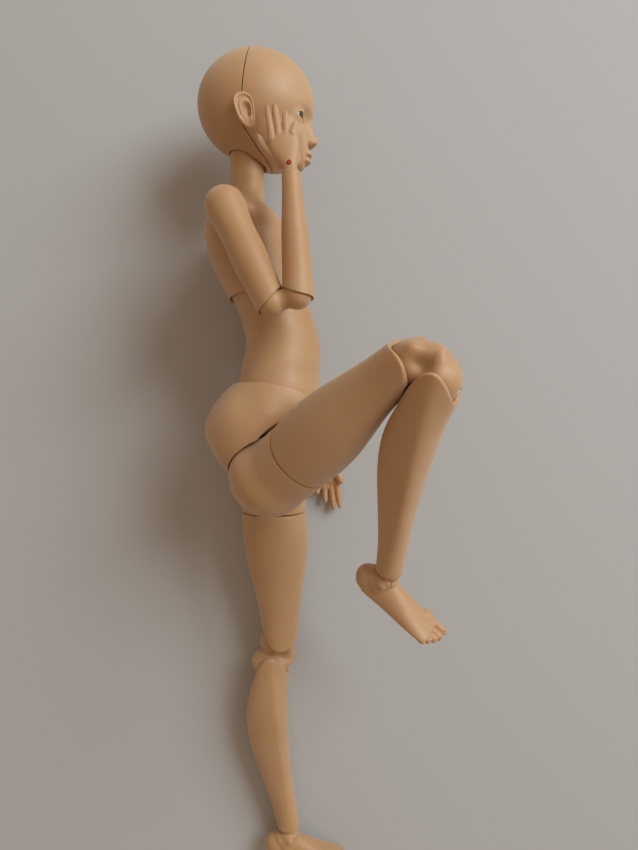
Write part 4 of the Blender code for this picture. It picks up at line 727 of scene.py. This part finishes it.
# Eyes: glass balls set in the faceplate from behind, a white with a dark brown iris. They look
# ahead and a little outwards and down.
EYE_WHITE = (0.72, 0.70, 0.66)
IRIS_RADIUS = 3.0
PUPIL_RADIUS = 1.5
IRIS_STEPS = ((0, (0.004, 0.003, 0.003)), (PUPIL_RADIUS, (0.004, 0.003, 0.003)),
              (PUPIL_RADIUS + 0.15, (0.10, 0.045, 0.02)), (IRIS_RADIUS - 0.5, (0.06, 0.028, 0.014)),
              (IRIS_RADIUS - 0.1, (0.015, 0.009, 0.007)), (IRIS_RADIUS + 0.2, EYE_WHITE))
GAZE_DOWN, GAZE_OUT = 0.5 * MM, 1.0 * MM
GLASS_LOOK = (("Specular IOR Level", 0.2), ("Coat Weight", 0.1))
GLASS_ROUGHNESS = 0.2


def eye_glass(name, gaze):
    # Rings of colour round the line of sight, by the distance from it
    made = plain_material(name, EYE_WHITE, GLASS_ROUGHNESS)
    tree = made.node_tree
    source = tree.nodes.new("ShaderNodeTexCoord").outputs["Object"]
    share = 1 / (EYE_RADIUS * MM)
    for operation, value in (("SUBTRACT", gaze), ("MULTIPLY", (0, share, share)), ("LENGTH", None)):
        node = tree.nodes.new("ShaderNodeVectorMath")
        node.operation = operation
        tree.links.new(source, node.inputs[0])
        if value:
            node.inputs[1].default_value = value
        source = node.outputs["Value" if operation == "LENGTH" else "Vector"]
    ramp = tree.nodes.new("ShaderNodeValToRGB")
    while len(ramp.color_ramp.elements) < len(IRIS_STEPS):
        ramp.color_ramp.elements.new(0.5)
    for element, (reach, colour) in zip(ramp.color_ramp.elements, IRIS_STEPS):
        element.position = reach / EYE_RADIUS
        element.color = (*colour, 1)
    tree.links.new(source, ramp.inputs["Fac"])
    shader = shader_of(made)
    tree.links.new(ramp.outputs["Color"], shader.inputs["Base Color"])
    for socket, value in GLASS_LOOK:
        shader.inputs[socket].default_value = value
    return made


for side, side_name in SIDES:
    centre = nod_frame @ eye_centre(side)
    builder = bmesh.new()
    bmesh.ops.create_uvsphere(builder, u_segments=48, v_segments=24, radius=EYE_RADIUS * MM,
                              matrix=Matrix.Translation(centre) @ Matrix.Rotation(pi / 2, 4, "Y"))
    gaze = centre + Vector((0, -GAZE_DOWN, side * GAZE_OUT))
    glass = eye_glass(side_name + "_eye_glass", gaze)
    finished(side_name + "_eyeball", builder, "head", [side_name + "_eye"], glass, levels=0)

# Upper arms: turned resin tubes with a ball at the shoulder and a slotted cup at the elbow.
# The elastic that holds the arm on runs through the bore. A limb's station gives a distance
# along it, the front, the back and half the width; a rim gives its front, back and side.
LIMB_SIDES = 40
SOCKET_GAP = 0.6 * MM
RIM_ROUND = 0.35 * MM
ELBOW_BALL = 7 * MM
ARM_RIM = (4.2 * MM, -2 * MM, -0.5 * MM)
UPPER_ARM_STATIONS = in_mm((3, 10.1, 10.1, 9.9), (14, 8.7, 8.9, 9.2), (27, 9, 9.4, 9.2), (40, 8.4, 8.6, 8.4),
                           (51, 7.9, 8.1, 8))


def limb(side_name, start, end, hinge):
    # A limb's own axes at its first joint, and its length to the next one
    near, far = joint_place(side_name + start), joint_place(side_name + end)
    return frame_of(near, far - near, joint_axis(side_name + hinge)), (far - near).length


def oval(front, back, half, depth):
    return circle(LIMB_SIDES, lambda angle: Vector((
        (front if cos(angle) > 0 else back) * cos(angle), half * sin(angle), depth)))


def outer_rings(stations, rows, start_of, end_of):
    # The outside of a limb: every column runs from its own start to its own end
    near, far = stations[0][0], stations[-1][0]
    edge = RIM_ROUND / abs(far - near)
    rings = []
    for share in [0, edge] + [row / rows for row in range(1, rows)] + [1 - edge, 1]:
        front, back, half = blended(stations, near + (far - near) * share)
        rings.append(circle(LIMB_SIDES, lambda angle: Vector((
            (front if cos(angle) > 0 else back) * cos(angle), half * sin(angle),
            start_of(angle) + (end_of(angle) - start_of(angle)) * share))))
    return rings


def socket_rings(centre, radius, facing, heights, bore, steps=7):
    # The cup that a ball turns in, from its rim to the bore
    rings = []
    inner = acos(sqrt(radius * radius - bore * bore) / radius)
    for share in [0, 0.05] + [step / steps for step in range(1, steps)] + [0.97, 1]:

        def place(angle):
            rim = acos(rim_height(heights, angle) / radius)
            polar = rim + (inner - rim) * share
            spread = radius * sin(min(polar, pi / 2))
            return Vector((spread * cos(angle), spread * sin(angle), centre - facing * radius * cos(polar)))

        rings.append(circle(LIMB_SIDES, place))
    return rings


def ball_rings(radius, bore, steps=10):
    # Half a ball, from the bore at its pole to its widest ring, which the limb's own rings follow
    first = acos(sqrt(radius * radius - bore * bore) / radius)
    rings = []
    for share in [0, 0.03] + [step / steps for step in range(1, steps)]:
        polar = first + (pi / 2 - first) * share
        rings.append(oval(*(radius * sin(polar),) * 3, -radius * cos(polar)))
    return rings


def rim_of(heights, start=0, facing=1):
    return lambda angle: start + facing * rim_height(heights, angle)


for side, side_name in SIDES:
    where, length = limb(side_name, "_shoulder_swing", "_elbow_upper", "_elbow_upper")
    rings = ball_rings(SHOULDER_BALL, ARM_BORE)
    rings += outer_rings(UPPER_ARM_STATIONS, 12, level(UPPER_ARM_STATIONS[0][0]), rim_of(ARM_RIM, length, -1))
    rings += socket_rings(length, ELBOW_BALL + SOCKET_GAP, 1, ARM_RIM, ARM_BORE)
    body = side_name + "_upper_arm"
    finished(body + "_shell", sheath(rings), body, [body], body_resin, where)

# Elbows: short resin beans, a ball at each end, so that the forearm folds flat on the upper arm.
# Each is bored for the elastic, which holds it between the two cups.
ELBOW_WAIST = 4.9 * MM
BEAN_STEPS = 9


def bean_rings(ball, waist, length, bore, shaped=None):
    first = acos(sqrt(ball * ball - bore * bore) / ball)
    last = pi - acos(sqrt(ball * ball - waist * waist) / ball)
    turns = [first + (last - first) * share for share in
             [0, 0.03] + [step / BEAN_STEPS for step in range(1, BEAN_STEPS + 1)]]
    profile = [(ball * sin(turn), -ball * cos(turn)) for turn in turns]
    profile += [(spread, length - depth) for spread, depth in reversed(profile)]
    rings = []
    for spread, depth in profile:

        def place(angle):
            point = Vector((spread * cos(angle), spread * sin(angle), depth))
            return shaped(point, angle, spread, depth) if shaped else point

        rings.append(circle(LIMB_SIDES, place))
    return rings


for side, side_name in SIDES:
    where, length = limb(side_name, "_elbow_upper", "_elbow_lower", "_elbow_upper")
    rings = bean_rings(ELBOW_BALL, ELBOW_WAIST, length, ARM_BORE)
    body = side_name + "_elbow"
    finished(body + "_bean", sheath(rings), body, [body], body_resin, where)

# Forearms: resin tubes that narrow to the wrist, with a cup at each end. The elastic ends in
# them, on the hook of the hand.
WRIST_BALL = 3.7 * MM
WRIST_RIM = 0.8 * MM
FOREARM_STATIONS = in_mm((4, 7, 8, 7.9), (15, 6.6, 7.8, 7.6), (32, 6.1, 7, 7), (48, 5.1, 5.6, 6),
                         (62, 4.5, 4.9, 5.4))
for side, side_name in SIDES:
    where, length = limb(side_name, "_elbow_lower", "_wrist_bend", "_elbow_lower")
    rings = list(reversed(socket_rings(0, ELBOW_BALL + SOCKET_GAP, -1, ARM_RIM, ARM_BORE)))
    rings += outer_rings(FOREARM_STATIONS, 12, rim_of(ARM_RIM), level(length - WRIST_RIM))
    rings += socket_rings(length, WRIST_BALL + SOCKET_GAP, 1, (WRIST_RIM,) * 3, ARM_BORE)
    body = side_name + "_forearm"
    finished(body + "_shell", sheath(rings), body, [body], body_resin, where)

# Hips: a resin ball in the pelvis with a hollow cap, on whose flat end the thigh swivels. The
# leg's elastic runs through both.
HIP_BORE = 2.2 * MM
HIP_CORE = 15.5 * MM
HIP_FLOOR = 4 * MM
HIP_ROWS = 12
HIP_FULLNESS = 1.5
HIP_STATIONS = in_mm((12, 17.2, 20.8, 18.6), (24.6, 17.2, 20.2, 18.4))
for side, side_name in SIDES:
    where, length = limb(side_name, "_hip_flex", "_knee_upper", "_knee_upper")
    rings = ball_rings(HIP_BALL, HIP_BORE, 14)
    cap_start, cap_end = HIP_STATIONS[0][0], HIP_STATIONS[1][0]
    for depth in [cap_end * step / HIP_ROWS for step in range(HIP_ROWS)] + [cap_end - RIM_ROUND, cap_end]:
        widths = blended(HIP_STATIONS, max(depth, cap_start))
        ball_width = sqrt(HIP_BALL ** 2 - min(depth, cap_start) ** 2)
        share = min(depth / cap_start, 1) ** HIP_FULLNESS
        rings.append(oval(*[ball_width + (width - ball_width) * share for width in widths], depth))
    for radius, depth in ((HIP_CORE, cap_end), (HIP_CORE, cap_end - RIM_ROUND), (HIP_CORE, 0),
                          (HIP_BORE, HIP_FLOOR - HIP_BALL)):
        rings.append(oval(radius, radius, radius, depth))
    body = side_name + "_hip"
    finished(body + "_ball", sheath(rings), body, [body], body_resin, where)

# Thighs: hollow resin shells, cut flat at the hip cap and cupped over the knee. The elastic
# pulls each against its cap, on which it can turn.
KNEE_BALL = 10 * MM
THIGH_RIM = (2.4 * MM, 9.6 * MM, -1.5 * MM)
THIGH_SKIRT = (2.4 * MM, 12.5 * MM, -1.5 * MM)
THIGH_WALL = 3.2 * MM
THIGH_STATIONS = in_mm((25, 17.2, 20.2, 18.4), (38, 18.6, 20, 19.4), (52, 18, 18.6, 18.6),
                       (66, 16, 15.4, 16.4), (80, 13.8, 12, 14.4), (96, 12.4, 9.4, 13.2))
THIGH_HOLLOW = ((4, 0), (2, 0), (0, RIM_ROUND), (0, 0))
for side, side_name in SIDES:
    where, length = limb(side_name, "_thigh_turn", "_knee_upper", "_knee_upper")
    rings = outer_rings(THIGH_STATIONS, 16, level(THIGH_STATIONS[0][0]), rim_of(THIGH_SKIRT, length, -1))
    rings += socket_rings(length, KNEE_BALL + SOCKET_GAP, 1, THIGH_RIM, HIP_BORE)
    for station, lift in THIGH_HOLLOW:
        depth, *widths = THIGH_STATIONS[station]
        rings.append(oval(*[width - THIGH_WALL for width in widths], depth + lift))
    body = side_name + "_thigh"
    finished(body + "_shell", sheath(rings), body, [body], body_resin, where)

# Knees: resin beans with a kneecap on the front and small lobes and hollows round it. They are
# bored for the elastic and turn in a cup at each end, so that the shin folds back on the thigh.
KNEE_WAIST = 7.6 * MM
KNEECAP_FORWARD = 5.6 * MM
KNEECAP_RADIUS = 7.4 * MM
KNEE_FORM = ((5, 9, 5, 3.8, -3.6), (8.5, 6.5, -1.5, 3.4, 2.4), (12, 5, 10, 4.2, 1.4), (5, 9.5, 13, 3.2, 1.2),
             (-9.5, 3, 0, 4, 0.4), (-9.5, 3, 14, 4.5, 1.6), (-8, 5, 6.5, 2.4, -1.2))


def kneecap(length):
    def shaped(point, angle, spread, depth):
        from_middle = depth - length / 2
        if abs(from_middle) < KNEECAP_RADIUS:
            reach = KNEECAP_FORWARD + sqrt(KNEECAP_RADIUS ** 2 - from_middle ** 2)
            point.x += max(cos(angle), 0) ** 3 * max(reach - spread, 0)
        return point

    return shaped


for side, side_name in SIDES:
    where, length = limb(side_name, "_knee_upper", "_knee_lower", "_knee_upper")
    builder = sheath(bean_rings(KNEE_BALL, KNEE_WAIST, length, HIP_BORE, kneecap(length)))
    bmesh.ops.recalc_face_normals(builder, faces=builder.faces[:])
    for half_side in (1, -1):
        swell(builder, [(front, half_side * half, *rest) for front, half, *rest in KNEE_FORM])
    body = side_name + "_knee"
    finished(body + "_bean", builder, body, [body], body_resin, where)

# Shins: hollow resin shells with a full calf, cupped at the knee and at the ankle. Two lobes
# at the top lap the sides of the knee.
ANKLE_BALL = 5.3 * MM
ANKLE_RIM = 1 * MM
SHIN_RIM = (7.4 * MM, 9.6 * MM, -7 * MM)
SHIN_SKIRT = (7.4 * MM, 12.5 * MM, -7 * MM)
SHIN_STATIONS = in_mm((10, 10.2, 12.8, 13.2), (21, 7.8, 16.6, 13.4), (31, 6.8, 18.4, 13.2),
                      (46, 5.6, 17.6, 12.2), (66, 5, 13.4, 9.8), (86, 5.4, 9, 7.4), (101, 6.4, 7, 6.8))
for side, side_name in SIDES:
    where, length = limb(side_name, "_knee_lower", "_ankle_bend", "_knee_lower")
    rings = list(reversed(socket_rings(0, KNEE_BALL + SOCKET_GAP, -1, SHIN_RIM, HIP_BORE)))
    rings += outer_rings(SHIN_STATIONS, 18, rim_of(SHIN_SKIRT), level(length - ANKLE_RIM))
    rings += socket_rings(length, ANKLE_BALL + SOCKET_GAP, 1, (ANKLE_RIM,) * 3, HIP_BORE)
    body = side_name + "_shin"
    finished(body + "_shell", sheath(rings), body, [body], body_resin, where)

# Hands: each cast in one piece of resin round the ball of the wrist, slim and slightly cupped,
# with small nails. A hook holds it to the elastic, whose red end shows at the back of the wrist.
# Sizes are in millimetres from the ball: across to the thumb, to the palm's side, to the tips.
SKIN_VOXEL = 0.26 * MM
PALM_TILT = radians(8)
PALM_ROWS, PALM_START, PALM_STEP, PALM_SHIFT = 27, 0.6, 0.8, 0.1
PALM_STATIONS = ((0.6, 3.4, 3.2), (3.4, 4.1, 3.1), (7, 5.5, 3.2), (11, 6.8, 3.1), (15, 7.4, 2.8),
                 (19, 7.5, 2.5), (21.4, 7.0, 1.8))
HAND_LUMPS = ((0, 0, 0, 3.7, 3.7, 3.7), (3.4, 1.4, 9, 2.9, 2.1, 5.6), (-4.2, 1.2, 9.4, 2.5, 2.0, 6),
              (2.8, -0.1, 21.6, 1.7, 1.4, 2.4), (-1.0, -0.1, 23.0, 1.7, 1.4, 2.4),
              (-5.0, -0.1, 21.8, 1.7, 1.4, 2.4))
FINGERS = (("index", 5.1, 3.4, 38, 0.1, 1), ("middle", 1.6, -0.4, 37.8, 0.0, 1),
           ("ring", -2.0, -4.6, 32.6, 0.3, 1), ("little", -5.3, -8.2, 26.2, 0.6, 0.9))
FINGER_FORM = ((0, 2.2), (0.14, 2.05), (0.28, 1.9), (0.38, 1.98), (0.5, 1.78), (0.62, 1.68), (0.70, 1.76),
               (0.8, 1.58), (0.9, 1.42), (0.96, 1.1))
FINGER_ROOT, FINGER_CURL, FINGER_BOW = (-0.3, 18.2), 1.2, 1.0
KNUCKLE, KNUCKLE_SIZES = (-0.7, 19.2), (2.0, 1.9, 2.8)
THUMB_PATH = ((3.4, 1.4, 6), (6.2, 2.0, 11), (8.6, 2.3, 15.6), (10.2, 2.4, 19.4), (11.3, 2.4, 22.6),
              (11.6, 2.4, 23.6))
THUMB_RADII = (2.6, 2.4, 2.15, 2.25, 1.9, 1.5)
FINGER_NAIL, THUMB_NAIL = 1.05, 1.25
NAIL_ALONG, NAIL_OUT = 0.2, 1.12
WRIST_BORE = 2.0 * MM
BEAD_HOLE = 1.35 * MM


def lump(builder, centre, sizes):
    place = Matrix.Translation(Vector(centre) * MM) @ Matrix.Diagonal((*sizes, 1))
    bmesh.ops.create_uvsphere(builder, u_segments=20, v_segments=12, radius=MM, matrix=place)


def nail(builder, middle, turn, sizes):
    place = Matrix.Translation(middle * MM) @ turn @ Matrix.Diagonal((*sizes, 1))
    bmesh.ops.create_uvsphere(builder, u_segments=16, v_segments=10, radius=MM, matrix=place)


def strand(builder, path, radii):
    # A finger or a toe: a ball at each station and a cone from one to the next
    for spot, size in zip(path, radii):
        lump(builder, spot, (size,) * 3)
    for near, near_size, far, far_size in zip(path, radii, path[1:], radii[1:]):
        span = (Vector(far) - Vector(near)) * MM
        turn = span.to_track_quat("Z", "Y").to_matrix().to_4x4()
        turn.translation = (Vector(near) + Vector(far)) / 2 * MM
        bmesh.ops.create_cone(builder, cap_ends=True, segments=24, radius1=near_size * MM,
                              radius2=far_size * MM, depth=span.length, matrix=turn)


def melted_object(name, builder, where, smoothing):
    # All the shapes in one skin, as the modeller's clay is, and smoothed
    made = bare_object(name, builder)
    fuse = made.modifiers.new("fuse", "REMESH")
    fuse.mode = "VOXEL"
    fuse.voxel_size = SKIN_VOXEL
    soften = made.modifiers.new("soften", "SMOOTH")
    soften.factor = 0.5
    soften.iterations = smoothing
    settled(made).transform(where)
    return made


def hand_frame(side_name):
    across = Vector(joints[side_name + "_wrist_bend"]["axis"]).normalized()
    if side_name == "left":
        along = across.cross(joint_axis("left_elbow_upper"))
    else:
        flat = across.cross(Vector((0, 0, 1))).normalized()
        along = flat * cos(PALM_TILT) - Vector((0, 0, 1)) * sin(PALM_TILT)
    made = Matrix((across, along.cross(across), along)).transposed().to_4x4()
    made.translation = joint_place(side_name + "_wrist_bend")
    return made


for side, side_name in SIDES:
    palm = -side
    where = hand_frame(side_name)
    rings = []
    for row in range(PALM_ROWS):
        depth = PALM_START + row * PALM_STEP
        half, thick = blended(PALM_STATIONS, depth)
        rings.append(circle(40, lambda angle: Vector((
            half * cos(angle) - PALM_SHIFT, thick * sin(angle), depth)) * MM))
    builder = sheath(rings, closed=False)
    for across, inward, along, *sizes in HAND_LUMPS:
        lump(builder, (across, palm * inward, along), sizes)
    nails = []
    for finger, root, tip, reach, curl, size in FINGERS:
        start = Vector((root, palm * FINGER_ROOT[0], FINGER_ROOT[1]))
        end = Vector((tip, palm * (FINGER_CURL + curl), reach))
        path = [start.lerp(end, share) - Vector((0, palm * FINGER_BOW * sin(pi * share), 0))
                for share, radius in FINGER_FORM]
        strand(builder, path, [radius * size for share, radius in FINGER_FORM])
        lump(builder, (root, palm * KNUCKLE[0], KNUCKLE[1]), KNUCKLE_SIZES)
        nails.append((path[-2], path[-1], FINGER_NAIL * size))
    path = [Vector((across, palm * inward, along)) for across, inward, along in THUMB_PATH]
    if side_name == "left":
        # This thumb lies closer to the fingers
        path = [Vector((spot.x * 0.55 + 1.4, palm * (1.6 + 0.06 * spot.z), spot.z * 0.94))
                for spot in path]
    strand(builder, path, THUMB_RADII)
    nails.append((path[-2], path[-1], THUMB_NAIL))
    hand = melted_object(side_name + "_hand_form", builder, where, 7)
    carved(hand, [tube(*in_mm((0, 0, -4.4), (0, 0, 1)), WRIST_BORE),
                  tube(*in_mm((0, -palm * 1.2, 3.4), (0, -palm * 5, 3.4)), BEAD_HOLE)], where)
    dressed(hand, side_name + "_hand", [side_name + "_hand"], body_resin, 0)
    builder = bmesh.new()
    for near, far, size in nails:
        middle = near.lerp(far, NAIL_ALONG) - Vector((0, palm * NAIL_OUT * size, 0))
        turn = (far - near).to_track_quat("Z", "Y").to_matrix().to_4x4()
        nail(builder, middle, turn, (0.85 * size, 0.42, 1.45 * size))
    finished(side_name + "_finger_nails", builder, side_name + "_hand", [], nail_resin, where, 0)

# Feet: solid resin castings with a flat sole, a ball on top for the ankle and short round toes.
# A hook in the slot of the ankle holds each to its elastic. Sizes are in millimetres from the
# ball: forwards, to the doll's right and down.
SOLE_DROP = 17.0
SOLE_EDGE = 2.2
FOOT_STATIONS = ((-6.4, 6.1, 10.4), (-4, 6.5, 12.8), (0, 6.9, 14.0), (5, 7.1, 13.6), (10, 7.6, 12.2),
                 (15, 8.2, 10.4), (20, 8.9, 8.6), (26, 9.4, 7), (30, 9.3, 5.8), (32.5, 9, 5))
FOOT_LUMPS = ((0, 0, 0, 5.3, 5.3, 5.3), (-3.4, 0, 7, 6.6, 6.4, 6), (-6.6, 0, 10.3, 7.1, 6.5, 6.7),
              (-5.4, 0, 13.4, 7.4, 6.3, 3.7), (0.6, 5.4, 5.2, 2.6, 2, 2.6), (0.6, -5.2, 6, 2.6, 2, 2.6))
BIG_TOE_PAD, BIG_TOE_PAD_SIZES = (26.5, -5.6, 13.4), (5, 4, 3.5)
ANKLE_CONES = ((1.5, 5.7, 2.6, 6.4), (2.6, 6.4, 6, 6.8), (6, 6.8, 10, 7))
ANKLE_LEAN = 0.04
TOES = (("big", -5.6, 39.2, 2.75), ("second", -1.5, 38.8, 2.0), ("third", 1.9, 37.2, 1.9),
        ("fourth", 4.9, 35.0, 1.85), ("fifth", 7.4, 32.6, 1.8))
TOE_ROOT, TOE_PAD_LENGTH = 29, 2.2
TOE_LIFT, TOE_ROOT_RISE, TOE_ARCH_RISE = 0.2, 0.4, 0.5
TOE_RADIUS_SHARES = (0.95, 0.88, 1)
TOE_NAIL_PLACE_SHARES = (0.75, 0.72)
TOE_NAIL_SHARES = (0.6, 0.62, 0.22)
TOE_NAIL_TURN = radians(24)
SLOT_TURN = radians(42)
SLOT_PLACE = Matrix.Translation((7 * MM, 0, 2.6 * MM))
SLOT_SIZES = (4 * MM, 0.5 * MM, 4.4 * MM)
FOOT_BORE = 2.6 * MM
GROUND_SIZE = 120 * MM


def foot_frame(side_name):
    soles = {mount["name"]: mount["axis"] for mount in frame["record"]["mounts"]}
    down = Vector(soles[side_name + "_sole"]).normalized()
    side = joint_axis(side_name + "_ankle_bend")
    made = Matrix((side.cross(down), side, down)).transposed().to_4x4()
    made.translation = joint_place(side_name + "_ankle_bend")
    return made


def foot_ring(forward, half, rise):
    def place(angle):
        height = (rise - SOLE_EDGE if sin(angle) > 0 else SOLE_EDGE) * sin(angle)
        return Vector((forward, half * cos(angle), SOLE_DROP - SOLE_EDGE - height)) * MM

    return circle(32, place)


def block(place, sizes):
    builder = bmesh.new()
    bmesh.ops.create_cube(builder, size=1, matrix=place @ Matrix.Diagonal((*sizes, 1)))
    return builder


for side, side_name in SIDES:
    where = foot_frame(side_name)
    builder = sheath([foot_ring(*station) for station in FOOT_STATIONS], closed=False)
    for near, near_size, far, far_size in ANKLE_CONES:
        place = Matrix.Translation(Vector((-ANKLE_LEAN * far, 0, (near + far) / 2)) * MM)
        bmesh.ops.create_cone(builder, cap_ends=True, segments=40, radius1=near_size * MM,
                              radius2=far_size * MM, depth=(far - near) * MM, matrix=place)
    for forward, aside, drop, *sizes in FOOT_LUMPS:
        lump(builder, (forward, aside, drop), sizes)
    lump(builder, (BIG_TOE_PAD[0], side * BIG_TOE_PAD[1], BIG_TOE_PAD[2]), BIG_TOE_PAD_SIZES)
    nails = []
    for toe, aside, tip, radius in TOES:
        height = SOLE_DROP - radius - TOE_LIFT
        path = [(TOE_ROOT, side * aside, height - TOE_ROOT_RISE),
                (tip - radius - TOE_PAD_LENGTH, side * aside, height - TOE_ARCH_RISE),
                (tip - radius, side * aside, height)]
        strand(builder, path, [radius * share for share in TOE_RADIUS_SHARES])
        back, lift = [radius * share for share in TOE_NAIL_PLACE_SHARES]
        nails.append((Vector((tip - back, side * aside, height - lift)), radius))
    foot = melted_object(side_name + "_foot_form", builder, where, 6)
    carved(foot, [tube(*in_mm((0, 0, -6), (0, 0, 1.4)), FOOT_BORE),
                  block(Matrix.Translation((0, 0, SOLE_DROP * MM + GROUND_SIZE / 2)), (GROUND_SIZE,) * 3),
                  block(Matrix.Rotation(side * SLOT_TURN, 4, "Z") @ SLOT_PLACE, SLOT_SIZES)], where)
    dressed(foot, side_name + "_foot", [side_name + "_foot"], body_resin, 0)
    builder = bmesh.new()
    for middle, radius in nails:
        nail(builder, middle, Matrix.Rotation(TOE_NAIL_TURN, 4, "Y"),
             [radius * share for share in TOE_NAIL_SHARES])
    finished(side_name + "_toe_nails", builder, side_name + "_foot", [], nail_resin, where, 0)

# Stringing and fittings: white elastic in the bores, its red knotted ends at the wrists, bent
# steel hooks that hold head, hands and feet, and nickel plated magnets in the two head shells.
FITTING_LOOKS = (("magnet", "nickel", (0.40, 0.40, 0.42), 0.25, 1.0),
                 ("hook", "steel", (0.55, 0.55, 0.56), 0.3, 1.0),
                 ("elastic", "white", (0.72, 0.70, 0.66), 0.8, 0.0),
                 ("bead", "red", (0.45, 0.03, 0.025), 0.6, 0.0))
for node_name, node in frame["nodes"].items():
    for kind, look, *finish in FITTING_LOOKS:
        if kind in node_name and not node.hide_render:
            node.data.materials.clear()
            node.data.materials.append(plain_material(f"{node_name}_{look}", *finish))
            break

bpy.context.view_layer.update()
